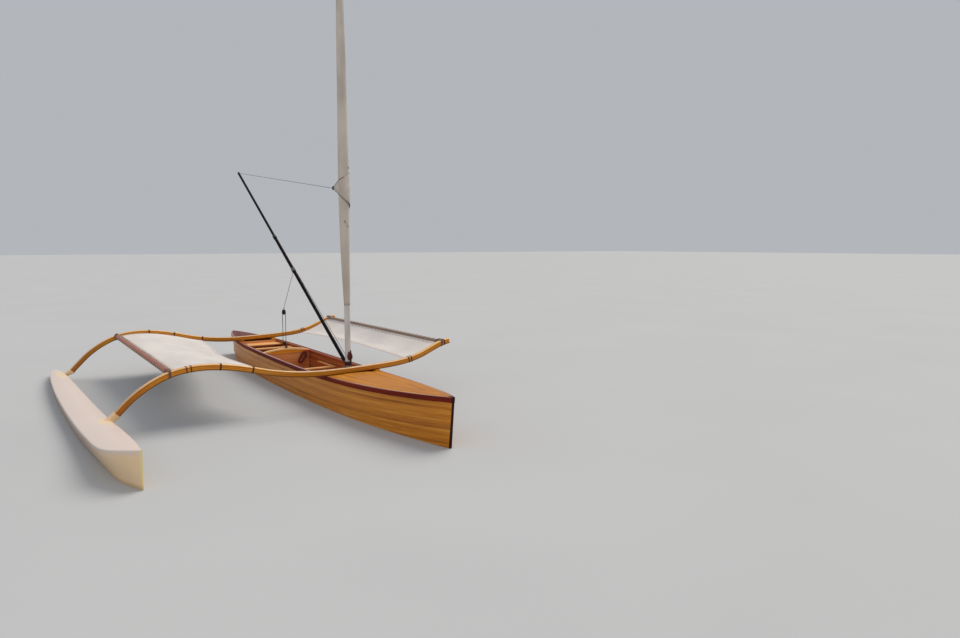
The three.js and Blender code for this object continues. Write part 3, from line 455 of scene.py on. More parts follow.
def skin(name, rows, along=0.0, across=0.0, around=True, ends=True, crease=40.0, outward=True):
    """Mesh through rows of points that share their number, with lengths along and across at each point.

    An end is one face, or a ribbon between a wall's outside and inside where ends is "ribbon".
    """
    rows = np.asarray(rows, float)
    count, wide = rows.shape[:2]
    last = wide if around else wide - 1
    faces = []
    for i in range(0, (count - 1) * wide, wide):
        faces += [(i + j, i + (j + 1) % wide, i + wide + (j + 1) % wide, i + wide + j) for j in range(last)]
    if ends == "ribbon":
        for first in (0, (count - 1) * wide):
            final = first + wide - 1
            faces += [(first + j, first + j + 1, final - 1 - j, final - j) for j in range(wide // 2 - 1)]
    elif ends:
        faces += [tuple(range(wide))[::-1], tuple(range((count - 1) * wide, count * wide))]
    rough = bpy.data.meshes.new(name)
    rough.from_pydata([tuple(point) for point in rows.reshape(-1, 3)], [], faces)
    for title, values in (("along", along), ("across", across)):
        layer = rough.attributes.new(title, "FLOAT", "POINT")
        layer.data.foreach_set("value", np.broadcast_to(values, (count, wide)).astype(np.float32).ravel())
    work = bmesh.new()
    work.from_mesh(rough)
    bpy.data.meshes.remove(rough)
    bmesh.ops.remove_doubles(work, verts=work.verts, dist=1e-6)
    bmesh.ops.dissolve_degenerate(work, dist=1e-6, edges=work.edges)
    if outward:
        bmesh.ops.recalc_face_normals(work, faces=work.faces)
    return mesh_from(name, work, crease)


def settled(thing):
    """Keeps the mesh that a thing's modifiers make, in place of them."""
    graph = bpy.context.evaluated_depsgraph_get()
    mesh = bpy.data.meshes.new_from_object(thing.evaluated_get(graph))
    thing.modifiers.clear()
    thing.data = mesh
    return thing


def cloth(name, rows, along, across, material, thickness, crease=40.0):
    """Sheet through rows of points, with half of its thickness to each side."""
    mesh = skin(name, rows, along, across, around=False, ends=False, crease=crease, outward=False)
    sheet = lay(name, mesh, material)
    wall = sheet.modifiers.new("wall", "SOLIDIFY")
    wall.thickness, wall.offset, wall.use_even_offset = thickness, 0.0, True
    return settled(sheet)


def joined(name, things):
    """One piece from several."""
    mesh = bpy.data.meshes.new(name)
    work = bmesh.new()
    for thing in things:
        work.from_mesh(thing.data)
    work.to_mesh(mesh)
    work.free()
    whole = lay(name, mesh, things[0].data.materials[0])
    mesh.set_sharp_from_angle(angle=math.radians(50))
    for thing in things:
        bpy.data.objects.remove(thing)
    return whole


def eased(nodes, material, ease, slot, body="canoe"):
    """Copies of CAD nodes with their edges rounded over, which then stand for them."""
    for node in nodes.split():
        work = bmesh.new()
        work.from_mesh(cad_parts[node].data)
        bmesh.ops.remove_doubles(work, verts=work.verts, dist=1e-5)
        bmesh.ops.dissolve_limit(work, angle_limit=math.radians(1), verts=work.verts, edges=work.edges)
        sharp = [edge for edge in work.edges if edge.is_manifold and edge.calc_face_angle() > EASED_FROM]
        bmesh.ops.bevel(
            work, geom=sharp, offset=ease, segments=2, profile=0.5, affect="EDGES", clamp_overlap=True
        )
        bmesh.ops.remove_doubles(work, verts=work.verts, dist=1e-6)
        stand_in(node, mesh_from(node + "_made", work, 42), material, slot, body)


# Curves, outlines and sweeps


def smooth(places, values):
    """Smooth curve through a table's rows, by cubic Hermite pieces."""

    def slope(i):
        before, after = max(i - 1, 0), min(i + 1, len(places) - 1)
        return (values[after] - values[before]) / (places[after] - places[before])

    def at(position):
        i = int(np.clip(np.searchsorted(places, position), 1, len(places) - 1))
        span = places[i] - places[i - 1]
        t = (position - places[i - 1]) / span
        keep_low, keep_high = (1 + 2 * t) * (1 - t) ** 2, t * t * (3 - 2 * t)
        turn_low, turn_high = t * (1 - t) ** 2 * span, t * t * (t - 1) * span
        bend = slope(i - 1) * turn_low + slope(i) * turn_high
        return values[i - 1] * keep_low + values[i] * keep_high + bend

    return at


def unit(way):
    """A way of length one."""
    return way / np.linalg.norm(way)


def lengths(points):
    """Distance along a line of points."""
    steps = np.linalg.norm(np.diff(np.asarray(points, float), axis=0), axis=1)
    return np.concatenate([[0.0], np.cumsum(steps)])


def evenly(points, count):
    """Points spaced evenly on a smooth curve through the given ones."""
    points = np.asarray(points, float)
    marks = lengths(points)
    curves = [smooth(marks, column) for column in points.T]
    fine = np.array([[c(s) for c in curves] for s in np.linspace(0, marks[-1], 12 * len(points))])
    far = lengths(fine)
    spots = np.linspace(0, far[-1], count)
    return np.column_stack([np.interp(spots, far, column) for column in fine.T])


def rounded(corners, ease, steps=4):
    """Closed outline whose corners are turned into arcs; ease is a reach, or one for each corner."""
    corners = np.asarray(corners, float)
    out = []
    for k, (here, reach) in enumerate(zip(corners, np.broadcast_to(ease, len(corners)))):
        if reach == 0:
            out.append(here)
            continue
        ways = [other - here for other in (corners[k - 1], corners[(k + 1) % len(corners)])]
        start, end = (here + unit(way) * min(reach, 0.49 * np.linalg.norm(way)) for way in ways)
        for t in np.linspace(0, 1, steps + 1):
            out.append((1 - t) ** 2 * start + 2 * t * (1 - t) * here + t * t * end)
    return np.array(out)


def oval(wide, tall, count):
    """Points round an oval."""
    return [(wide * math.cos(a), tall * math.sin(a)) for a in np.linspace(0, TURN, count, endpoint=False)]


def across_path(path):
    """Two unit vectors across each point of a path, which turn as little as they can."""
    tangents = np.gradient(path, axis=0)
    tangents /= np.linalg.norm(tangents, axis=1)[:, None]
    first = np.cross(tangents[0], (0.0, 0.0, 1.0))
    if np.linalg.norm(first) < 0.1:
        first = np.cross(tangents[0], (0.0, 1.0, 0.0))
    sides = [unit(first)]
    for tangent in tangents[1:]:
        sides.append(unit(sides[-1] - tangent * (sides[-1] @ tangent)))
    return np.array(sides), np.cross(tangents, sides)


def round_bar(name, path, radii, sides=32, ease=0.0):
    """Closed round bar along a path; radii is one radius or one per point, and ease rounds its ends."""
    path = np.asarray(path, float)
    radii = np.broadcast_to(radii, len(path)).astype(float)
    one, two = across_path(path)
    if ease:
        doubled = [0, *range(len(path)), -1]
        path, one, two, radii = path[doubled], one[doubled], two[doubled], radii[doubled]
        path[1] += unit(path[2] - path[0]) * ease
        path[-2] += unit(path[-3] - path[-1]) * ease
        radii[[0, -1]] -= ease
    angles = np.linspace(0, TURN, sides, endpoint=False)
    ring = np.cos(angles)[None, :, None] * one[:, None, :] + np.sin(angles)[None, :, None] * two[:, None, :]
    rows = path[:, None, :] + radii[:, None, None] * ring
    return skin(name, rows, lengths(path)[:, None], np.abs(angles - math.pi)[None, :] * radii[:, None])


def line(start, end, count):
    """Evenly spaced points from start to end."""
    return np.linspace(np.asarray(start, float), np.asarray(end, float), count)


def thread(name, paths, closed=False):
    """Mesh of bare edges, for a tree to start from."""
    points, edges = [], []
    for path in paths:
        first = len(points)
        points += [tuple(point) for point in path]
        edges += [(k, k + 1) for k in range(first, len(points) - 1)]
        if closed:
            edges.append((len(points) - 1, first))
    mesh = bpy.data.meshes.new(name)
    mesh.from_pydata(points, edges, [])
    return mesh


# Trees that lay cord and repeat small pieces


class Growth(Bench):
    """A geometry tree in the making. Its inputs are a start mesh, the sizes that it names and a finish."""

    def __init__(self, name, **sizes):
        tree = bpy.data.node_groups.new(name, "GeometryNodeTree")
        sockets = [("Geometry", "Geometry", None)]
        sockets += [(label.replace("_", " "), kind, default) for label, (kind, default) in sizes.items()]
        for label, kind, default in [*sockets, ("finish", "Material", None)]:
            socket = tree.interface.new_socket(label, in_out="INPUT", socket_type="NodeSocket" + kind)
            if default is not None:
                socket.default_value = default
        tree.interface.new_socket("Geometry", in_out="OUTPUT", socket_type="NodeSocketGeometry")
        super().__init__(tree)
        entry = tree.nodes.new("NodeGroupInput")
        self.given = {out.name: Value(self, out) for out in entry.outputs if out.name}
        self.curve = self.node("GeometryNodeMeshToCurve", {0: self.given["Geometry"]})

    def spaced(self):
        """Spreads the curve's points evenly, about one spacing apart."""
        inputs = {"Curve": self.curve, "Length": self.given["spacing"]}
        self.curve = self.node("GeometryNodeResampleCurve", inputs, mode="LENGTH")

    def kept(self, geometry, title, measure):
        """Stores a measure of a curve at its points under a title."""
        value = self.node("GeometryNodeSplineParameter", output=measure)
        inputs = {"Geometry": geometry, "Name": title, "Value": value}
        return self.node("GeometryNodeStoreNamedAttribute", inputs, data_type="FLOAT", domain="POINT")

    def tube(self, sides):
        """Tube of the cord round the curve, with its own lengths along and across."""
        radius = self.given["cord radius"]
        ring = self.node("GeometryNodeCurvePrimitiveCircle", {"Resolution": sides, "Radius": radius})
        curve, ring = self.kept(self.curve, "along", "Length"), self.kept(ring, "across", "Factor")
        inputs = {"Curve": curve, "Profile Curve": ring, "Fill Caps": True}
        return self.node("GeometryNodeCurveToMesh", inputs)

    def close(self, geometry):
        """Ends the tree in real geometry with its finish."""
        real = self.node("GeometryNodeRealizeInstances", {0: geometry})
        done = self.node("GeometryNodeSetMaterial", {"Geometry": real, "Material": self.given["finish"]})
        self.node("NodeGroupOutput", {0: done})
        return self.tree


def laced_tree():
    """A cord that winds round a straight line, and may reach out to one side on each turn."""
    sizes = {
        "turns": ("Float", 10.0),
        "winding_radius": ("Float", 0.03),
        "reach": ("Float", 0.0),
        "reach_sharpness": ("Float", 10.0),
        "side": ("Vector", (0.0, 1.0, 0.0)),
        "up": ("Vector", (0.0, 0.0, 1.0)),
        "cord_radius": ("Float", 0.003),
        "points_per_turn": ("Float", 20.0),
    }
    tree = Growth("cord_wound_on_a_line", **sizes)
    given = tree.given
    count = given["turns"] * given["points per turn"] + 1
    tree.curve = tree.node("GeometryNodeResampleCurve", {"Curve": tree.curve, "Count": count})
    share = tree.node("GeometryNodeSplineParameter", output="Factor")
    angle = share * given["turns"] * TURN
    towards = angle.cosine().at_least(0.0) ** given["reach sharpness"]
    radius = given["winding radius"] + given["reach"] * towards
    ways = []
    for way, amount in (("side", angle.cosine() * radius), ("up", angle.sine() * radius)):
        inputs = {0: given[way], "Scale": amount}
        ways.append(tree.node("ShaderNodeVectorMath", inputs, operation="SCALE"))
    shift = tree.node("ShaderNodeVectorMath", dict(enumerate(ways)), operation="ADD")
    tree.curve = tree.node("GeometryNodeSetPosition", {"Geometry": tree.curve, "Offset": shift})
    return tree.close(tree.tube(8))


def turns_tree():
    """Turns of a cord that lie side by side, each on the loop that the tree is given."""
    sizes = {"turns": ("Int", 1), "step": ("Vector", (0.0, 0.0, 0.0)), "cord_radius": ("Float", 0.002)}
    tree = Growth("turns_side_by_side", **sizes)
    inputs = {"Count": tree.given["turns"], "Offset": tree.given["step"]}
    inputs = {"Instance": tree.tube(8), "Points": tree.node("GeometryNodeMeshLine", inputs)}
    return tree.close(tree.node("GeometryNodeInstanceOnPoints", inputs))


def cord_tree():
    """A cord laid along the path that the tree is given."""
    tree = Growth("cord_on_a_path", spacing=("Float", 0.02), cord_radius=("Float", 0.003))
    tree.spaced()
    return tree.close(tree.tube(10))


def row_tree():
    """Copies of a small piece along a path, upright and turned along the path, with a little wander."""
    sizes = {"spacing": ("Float", 0.05), "piece": ("Object", None), "wander": ("Float", 0.0)}
    tree = Growth("copies_in_a_row", **sizes)
    given = tree.given
    tree.spaced()
    copy = tree.node("GeometryNodeObjectInfo", {"Object": given["piece"]}, output="Geometry")
    tangent = tree.node("GeometryNodeInputTangent")
    settings = {"axis": "X", "pivot_axis": "Z"}
    turned = tree.node("FunctionNodeAlignRotationToVector", {"Vector": tangent}, **settings)
    inputs = {"Points": tree.curve, "Instance": copy, "Rotation": turned}
    copies = tree.node("GeometryNodeInstanceOnPoints", inputs)
    inputs = {2: given["wander"] * -1.0, 3: given["wander"], "Seed": 3}
    wander = tree.node("FunctionNodeRandomValue", inputs, 1, data_type="FLOAT")
    spin = tree.node("ShaderNodeCombineXYZ", {2: wander})
    return tree.close(tree.node("GeometryNodeRotateInstances", {"Instances": copies, "Rotation": spin}))


LACED, TURNS, CORD, ROW = laced_tree(), turns_tree(), cord_tree(), row_tree()


def grown(name, tree, paths, material, closed=False, **sizes):
    """Piece that a tree makes from paths. The tree's modifier is gone afterwards."""
    thing = lay(name, thread(name, paths, closed), material)
    growth = thing.modifiers.new(tree.name, "NODES")
    growth.node_group = tree
    sizes["finish"] = material
    for item in tree.interface.items_tree:
        if item.in_out == "INPUT" and item.name.replace(" ", "_") in sizes:
            growth[item.identifier] = sizes[item.name.replace(" ", "_")]
    mesh = settled(thing).data
    mesh.name = name
    mesh.materials.clear()
    mesh.materials.append(material)
    mesh.shade_smooth()
    mesh.set_sharp_from_angle(angle=math.radians(60))
    return thing


def cord_on(name, paths, radius, material, spacing):
    """Cords along the given paths, as one piece."""
    return grown(name, CORD, paths, material, spacing=spacing, cord_radius=radius)


def loop_of(name, points, radius, material):
    """Closed ring of a round section."""
    return grown(name, TURNS, [points], material, closed=True, cord_radius=radius)


def row_of(name, paths, piece, spacing, material, wander=0.0):
    """Copies of a small piece along paths, as one piece."""
    return grown(name, ROW, paths, material, spacing=spacing, piece=piece, wander=wander)


# The one free cord: a line coiled on the cleat at the arched beam's port end

HANK_LINE = 0.007
HANK_STEP = 0.0075
HANK_LAYERS = 4
HANK_NESTED = 4
HANK_REACH = 0.0445
HANK_BACK_X = -2.3185
HANK_TOP = (0.246, 0.3017)
HANK_LOW = (0.196, 0.226)
HANK_POINTS = 44


def hank_turn(share, reach):
    """Place on one slanted oval turn of the hank, as (y, z)."""
    angle = TURN * share + math.pi / 2
    slant = math.atan2(HANK_TOP[0] - HANK_LOW[0], HANK_TOP[1] - HANK_LOW[1])
    blend = 0.5 + 0.5 * math.tanh(2.6 * math.sin(angle))
    narrow = 1 - 0.22 * (1 - blend) * abs(math.cos(angle))
    y, z = reach * narrow * math.cos(angle), reach * math.sin(angle)
    centre_y, centre_z = (low + (top - low) * blend for low, top in zip(HANK_LOW, HANK_TOP))
    cos, sin = math.cos(slant), math.sin(slant)
    return centre_y + y * cos + z * sin, centre_z + z * cos - y * sin


def hank_route():
    """Centreline of the coiled line: each layer of turns lies in front of the last, from the cleat down."""
    nested = [HANK_REACH - k * HANK_STEP for k in range(HANK_NESTED)]
    spots = []
    for layer in range(HANK_LAYERS):
        spots += [(reach, layer * HANK_STEP) for reach in (nested if layer % 2 == 0 else nested[::-1])]
    route = []
    for (reach, back), (next_reach, next_back) in zip(spots, spots[1:]):
        for k in range(HANK_POINTS):
            share = k / HANK_POINTS
            y, z = hank_turn(share, reach + (next_reach - reach) * share)
            route.append((HANK_BACK_X + back + (next_back - back) * share, y, z))
    return route


hank_path = hank_route()
hank = lay("coiled_line", round_bar("coiled_line", hank_path, HANK_LINE / 2, 10), red_line)
place(hank, "lashing_cord", node="line_hank")

# Main hull, through the same stations as its solid. Columns: station, half widths at the gunwale and at the
# waterline, and height of the keel.

HULL_TABLE = [
    (-5.05, 0.022, 0.016, 0.04),
    (-4.9, 0.072, 0.055, -0.02),
    (-4.65, 0.135, 0.112, -0.068),
    (-4.35, 0.196, 0.172, -0.102),
    (-4.0, 0.25, 0.228, -0.126),
    (-3.4, 0.312, 0.294, -0.148),
    (-2.6, 0.343, 0.33, -0.16),
    (-1.6, 0.354, 0.346, -0.166),
    (-0.8, 0.352, 0.345, -0.166),
    (0.0, 0.33, 0.322, -0.162),
    (0.7, 0.288, 0.278, -0.152),
    (1.25, 0.222, 0.21, -0.138),
    (1.7, 0.143, 0.132, -0.12),
    (2.0, 0.078, 0.068, -0.1),
    (2.18, 0.027, 0.022, -0.084),
]
SHEER_LOW = (-1.0, 0.373)
SHEER_BOW = (2.263, 0.490)
SHEER_STERN = (-5.05, 0.396)
WALL = 0.010
WALL_TAPER = 0.7
NARROW_WALL = 0.38
RAIL_DEPTH = 0.045
RAIL_WIDTH = 0.022
RAIL_PROUD = 0.008
RAIL_TAPER = 0.62
RAIL_EASES = (0.003, 0.009, 0.007, 0.0)
INWALE_DEPTH = 0.028
INWALE_WIDTH = 0.020
INWALE_EASES = (0.0, 0.006, 0.006, 0.0)
DECK_THICK = 0.007
DECK_CROWN = 0.016
DECK_COLUMNS = 33
GAP = 0.0003
HULL_ROWS = 150
STERN_ROWS = 14
STERN_FINE_X = -4.7
HULL_COLUMNS = 65
BILGE_SHARE = 0.62
BOTTOM_POINTS = [(1.0, 0.29), (0.86, 0.13), (0.52, 0.035)]
BOW_WATER_X = 2.205
BOW_ROWS = 6
STEM_EDGE = 0.018
STEM_EDGE_HALF = 0.007
STEM_EASE = 0.006

HULL_X, *hull_columns = zip(*HULL_TABLE)
STERN_X, LAST_X = HULL_X[0], HULL_X[-1]
gunwale_half, waterline_half, keel_height = (smooth(HULL_X, column) for column in hull_columns)


def sheer(x):
    """Height of the gunwale."""
    end = SHEER_BOW if x > SHEER_LOW[0] else SHEER_STERN
    share = (x - SHEER_LOW[0]) / (end[0] - SHEER_LOW[0])
    return SHEER_LOW[1] + (end[1] - SHEER_LOW[1]) * share**2


def side_at(x, z):
    """Half width of the hull's side near the gunwale."""
    top, wide, water, keel = sheer(x), gunwale_half(x), waterline_half(x), keel_height(x)
    middle_y, middle_z = (water + wide) / 2 + 0.02 * water, keel + (top - keel) * BILGE_SHARE
    return middle_y + (wide - middle_y) * (z - middle_z) / (top - middle_z)


def hull_section(x):
    """Points of the hull's section from the starboard gunwale round the keel to the port one."""
    top, water, keel = sheer(x), waterline_half(x), keel_height(x)
    half = [(side_at(x, z), z) for z in (top, top - RAIL_DEPTH, keel + (top - keel) * BILGE_SHARE)]
    half += [(k * water, keel + (top - keel) * share) for k, share in BOTTOM_POINTS]
    return evenly([(-y, z) for y, z in half] + [(0.0, keel)] + half[::-1], HULL_COLUMNS)


def bow_front(z):
    """How far forward the stem stands at a height."""
    return BOW_WATER_X + (SHEER_BOW[0] - BOW_WATER_X) * max(z, 0.0) / SHEER_BOW[1]


def drawn_to_bow(y, z, share):
    """Moves a point of the last section forwards, so that the planking reaches the stem at share 1."""
    end_x = bow_front(z) - STEM_EDGE
    slim = STEM_EDGE / (bow_front(z) - LAST_X)
    end_y = math.copysign(min(abs(y), STEM_EDGE_HALF + max(abs(y) - STEM_EDGE_HALF, 0.0) * slim), y)
    return (LAST_X + (end_x - LAST_X) * share, y + (end_y - y) * share, z)


def inside_of(section, wall):
    """The section's points moved inwards by a wall's thickness, each kept on its side of the keel."""
    way = np.gradient(section, axis=0)
    way /= np.linalg.norm(way, axis=1)[:, None]
    inner = section + np.column_stack([-way[:, 1], way[:, 0]]) * wall
    side = np.where(np.abs(section[:, 0]) > 0.002, np.sign(section[:, 0]), 0.0)
    return np.column_stack([side * np.maximum(np.abs(inner[:, 0]), 0.0006), inner[:, 1]])


def hull_row(x, share=0.0):
    """Outside and inside of the planking at a station, and each point's way from the gunwale."""
    section = hull_section(x)
    wall = min(WALL, NARROW_WALL * gunwale_half(x)) * (1 - WALL_TAPER * share)
    far = lengths(section)
    reach = np.minimum(far, far[-1] - far)
    points = [*section, *inside_of(section, wall)[::-1]]
    row = [drawn_to_bow(y, z, share) if share else (x, y, z) for y, z in points]
    return row, [*reach, *reach[::-1]]


def make_hull():
    """Planking, with its strips along the gunwale and its inside paler and redder."""
    stern = np.linspace(STERN_X, STERN_FINE_X, STERN_ROWS)[:-1]
    stations = [*stern, *np.linspace(STERN_FINE_X, LAST_X, HULL_ROWS)]
    made = [hull_row(x) for x in stations] + [hull_row(LAST_X, k / BOW_ROWS) for k in range(1, BOW_ROWS + 1)]
    rows, across = (np.array(part) for part in zip(*made))
    mesh = skin("planked_hull", rows, rows[:, :, 0], across, ends="ribbon")
    hull = lay("planked_hull", mesh, hull_cedar)
    mesh.materials.append(hull_inside)
    for face in mesh.polygons:
        centre = Vector((0, face.center.y, face.center.z - SHEER_LOW[1]))
        face.material_index = int(face.normal.dot(centre) < 0)
    place(hull, "cedar_side", node="hull_shell")


def rail_row(x, side, share=0.0):
    """Section of a rub rail, drawn forwards to the stem beyond the last station."""
    top = sheer(x)
    low = top - RAIL_DEPTH
    width = RAIL_WIDTH * (1 - RAIL_TAPER * share)
    near, under = side_at(x, top), side_at(x, low)
    if share:
        near, under = (abs(drawn_to_bow(y, z, share)[1]) for y, z in ((near, top), (under, low)))
    near, under = near + GAP, under + GAP
    high = top + RAIL_PROUD
    corners = [(near, high), (near + width, high), (under + width, low), (under, low)]
    outline = rounded(corners, RAIL_EASES)
    forward = [drawn_to_bow(0.02, z, share)[0] - LAST_X if share else 0.0 for _, z in outline]
    return [(x + ahead, side * y, z) for (y, z), ahead in zip(outline, forward)]


def inwale_row(x, side):
    """Section of an inwale."""
    top = sheer(x)
    low = top - INWALE_DEPTH
    near, under = side_at(x, top) - WALL - GAP, side_at(x, low) - WALL - GAP
    corners = [(near, top), (near - INWALE_WIDTH, top), (under - INWALE_WIDTH, low), (under, low)]
    return [(x, side * y, z) for y, z in rounded(corners, INWALE_EASES)]


def make_rails(side, hand):
    """Rub rail and inwales of one side."""
    rows = [rail_row(x, side) for x in np.linspace(STERN_X, LAST_X, HULL_ROWS)]
    rows = np.array(rows + [rail_row(LAST_X, side, share) for share in (0.33, 0.67, 1.0)])
    drops = rows[:, :, 2].max(axis=1)[:, None] - rows[:, :, 2]
    stand_in(f"rub_rail_{hand}", skin("rail", rows, rows[:, :, 0], drops), rail_mahogany, "dark_wood")
    for name in (f"inwale_aft_{hand}", f"inwale_fore_{hand}"):
        low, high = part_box(name)
        rows = [inwale_row(x, side) for x in np.linspace(low[0], high[0], 50)]
        stand_in(name, skin(name, rows), inwale_mahogany, "dark_wood")


def make_stem():
    """Dark edge of the stem, and the block between the rails behind its head."""
    wide, water = gunwale_half(LAST_X), waterline_half(LAST_X)
    rows = []
    for z in np.linspace(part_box("bow_stem")[0][2], SHEER_BOW[1] + RAIL_PROUD, 36):
        back, half, _ = drawn_to_bow(water + (wide - water) * max(z, 0) / SHEER_BOW[1], z, 1.0)
        back, front = back + GAP, bow_front(z)
        corners = [(back, half), (back, -half), (front, -STEM_EDGE_HALF), (front, STEM_EDGE_HALF)]
        rows.append([(x, y, z) for x, y in rounded(corners, (0.0, 0.0, STEM_EASE, STEM_EASE))])
    edge = lay("edge", skin("edge", rows), stem_mahogany)
    end_x, end_half, _ = drawn_to_bow(wide, SHEER_BOW[1], 1.0)
    rows = []
    for x in np.linspace(LAST_X + GAP, end_x, 8):
        half = wide + (end_half - wide) * (x - LAST_X) / (end_x - LAST_X) - GAP
        low, top = sheer(x) + GAP, sheer(x) + DECK_THICK
        corners = [(-half, low), (half, low), (half, top), (0, top + 0.003), (-half, top)]
        rows.append([(x, y, z) for y, z in rounded(corners, (0, 0, 0.002, half * 0.5, 0.002))])
    block = lay("block", skin("block", rows), stem_mahogany)
    place(joined("bow_stem_made", [edge, block]), "dark_wood", node="bow_stem")


def make_deck(node, start, end, material, slot, count):
    """Crowned deck over the rim. Its strips follow the edges."""
    stations = np.linspace(start, end, count)
    shares = np.linspace(-1, 1, DECK_COLUMNS)
    both = np.concatenate([shares, shares[::-1]])
    rows, far = [], []
    for x in stations:
        half, rim = gunwale_half(x), sheer(x)
        crown = DECK_CROWN * half / gunwale_half(0.0)
        row = [(x, t * half, rim + DECK_THICK + crown * (1 - t * t)) for t in shares]
        rows.append(row + [(x, t * half, rim + GAP) for t in shares[::-1]])
        far.append(half - np.abs(both) * half)
    stand_in(node, skin(node, rows, stations[:, None], np.array(far)), material, slot)


make_hull()
make_rails(1, "port")
make_rails(-1, "starboard")
make_stem()
make_deck("foredeck", 0.06, 2.18, deck_cedar, "cedar_deck", 60)
make_deck("stern_deck", -5.05, -3.78, stern_mahogany, "dark_wood", 40)

# Pieces that keep their CAD shape, with eased edges. Columns: nodes, finish, ease, slot, body.

EASED = [
    ("stern_post", mahogany_upright, 0.003, "dark_wood"),
    ("fore_bulkhead cockpit_bulkhead aft_bulkhead", inside_cedar, 0.0015, "cedar_deck"),
    ("fore_thwart aft_thwart aft_seat", pale_wood_across, 0.004, "pale_wood"),
    ("seat_riser_port seat_riser_starboard", pale_wood, 0.003, "pale_wood"),
    ("floor_bearer_1 floor_bearer_2", inside_cedar, 0.003, "cedar_side"),
    ("floor_slat_1 floor_slat_2 floor_slat_3", pale_wood, 0.0025, "pale_wood"),
    ("mast_partner", mahogany_across, 0.004, "dark_wood"),
    ("mast_step", mahogany, 0.004, "dark_wood"),
    ("front_chock_port front_chock_starboard", block_wood, 0.005, "beam_wood"),
    ("rear_chock_port rear_chock_starboard", block_wood, 0.005, "beam_wood"),
    ("boom_jaw_port boom_jaw_starboard", black_fitting, 0.003, "fitting", "boom"),
    ("boom_joint_band", black_fitting, 0.0015, "fitting", "boom"),
    ("boom_end_fitting", black_fitting, 0.004, "fitting", "boom"),
    ("gooseneck_collar", dark_red_fitting, 0.002, "fitting", "mast"),
    ("gooseneck_lug", dark_red_fitting, 0.003, "fitting", "mast"),
]
for row in EASED:
    eased(*row)

# Arched beam

ARCH_RISE = 0.042
ARCH_SEAT = 0.004
ARCH_CAP = 0.027
ARCH_EASE = 0.004
WEB_INSET = 0.005
WEB_DROP = ARCH_CAP + 0.0002


def arch_layer(name, material, inset, ease, levels):
    """One layer of the arched beam. levels gives its underside and top from the height of the arch."""
    low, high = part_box("arched_beam")
    aft, fore = low[0] + inset, high[0] - inset
    rows = []
    for t in np.linspace(-1, 1, 49):
        under, top = levels(SHEER_LOW[1] + ARCH_SEAT + ARCH_RISE * (1 - t * t))
        outline = rounded([(aft, under), (fore, under), (fore, top), (aft, top)], ease)
        rows.append([(x, t * high[1], z) for x, z in outline])
    return lay(name, skin(name, rows), material)


def make_arch():
    """Arched beam: a web of orange wood under a light laminated cap."""
    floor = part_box("arched_beam")[0][2]
    web = arch_layer("arched_beam_web", web_wood, WEB_INSET, 0, lambda arch: (floor, arch - WEB_DROP))
    place(web, "cedar_deck")
    cap = arch_layer("arched_beam_cap", arch_wood, 0, ARCH_EASE, lambda arch: (arch - ARCH_CAP, arch))
    place(cap, "pale_wood", node="arched_beam")


make_arch()

# Small stacked pieces, and the screws

AHEAD, PORT, UP = np.eye(3)
SQUARE = [(-1, -1), (1, -1), (1, 1), (-1, 1)]
SCREW_LEVELS = [
    (-0.001, 0.0006),
    (-0.001, 0.0042),
    (0.0, 0.0045),
    (0.0006, 0.0038),
    (0.0009, 0.0012),
    (0.0004, 0.0005),
]
SCREW_ROWS = [
    ("fore_thwart", 0.012, 0.03),
    ("aft_thwart", 0.012, 0.03),
    ("aft_seat", 0.03, 0.03),
    ("mast_partner", 0.03, 0.02),
]
SLAT_SCREWS_X = (-2.0, -0.7)
SLAT_SCREWS_INSET = 0.03


def stacked(name, outline, levels, material, base=(0, 0, 0), ways=(AHEAD, PORT, UP), crease=40.0):
    """Piece whose outline is laid at levels, each a height and how far the outline grows there."""
    one, two, out = ways
    rows = [[base + (one * a + two * b) * grow + out * level for a, b in outline] for level, grow in levels]
    return lay(name, skin(name, rows, crease=crease), material)


def oblong(half_long, half_wide, ease, steps):
    """Outline of a plate with rounded corners."""
    return rounded([(a * half_long, b * half_wide) for a, b in SQUARE], ease, steps)


def make_screws():
    """Screw heads in pairs where slats, seats and the partner are fastened."""
    head = stacked("screw_head", oval(1, 1, 16), SCREW_LEVELS, bronze, crease=30.0)
    paths = []
    for node in ("floor_slat_1", "floor_slat_2", "floor_slat_3"):
        low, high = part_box(node)
        ends = (low[1] + SLAT_SCREWS_INSET, high[1] - SLAT_SCREWS_INSET)
        paths += [[(x, y, high[2]) for y in ends] for x in SLAT_SCREWS_X]
    for node, inset_x, inset_y in SCREW_ROWS:
        low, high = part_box(node)
        ends = (low[0] + inset_x, high[0] - inset_x)
        paths += [[(x, y, high[2]) for x in ends] for y in (low[1] + inset_y, high[1] - inset_y)]
    rows = [row_of("screws", [path], head, lengths(path)[-1] * 0.999, bronze, 3.0) for path in paths]
    place(joined("screw_heads", rows), "fitting")
    bpy.data.objects.remove(head)


make_screws()

# Crossbeams: laminated, with rounded edges, and dark bands of line round them

BEAM_TABLE = [
    (-2.7, 0.088),
    (-2.575, 0.229),
    (-2.41, 0.393),
    (-2.22, 0.524),
    (-2.02, 0.611),
    (-1.83, 0.647),
    (-1.62, 0.65),
    (-1.41, 0.625),
    (-1.2, 0.581),
    (-0.985, 0.528),
    (-0.77, 0.49),
    (-0.53, 0.467),
    (-0.295, 0.462),
    (0.05, 0.471),
    (0.36, 0.485),
    (0.6, 0.506),
    (0.758, 0.535),
    (0.89, 0.574),
    (1.034, 0.635),
    (1.183, 0.696),
    (1.296, 0.722),
]
BEAM_TALL = 0.068
BEAM_WIDE = 0.060
BEAM_EDGE = 0.014
BEAM_END_EASE = 0.003
BEAM_END_SHRINK = 0.93
BEAM_PORT_Y = 1.296
BEAM_STATIONS = 110
BEAMS = {"front": (0.0, -2.558), "rear": (-3.715, -2.640)}
BAND_LINE = 0.0018
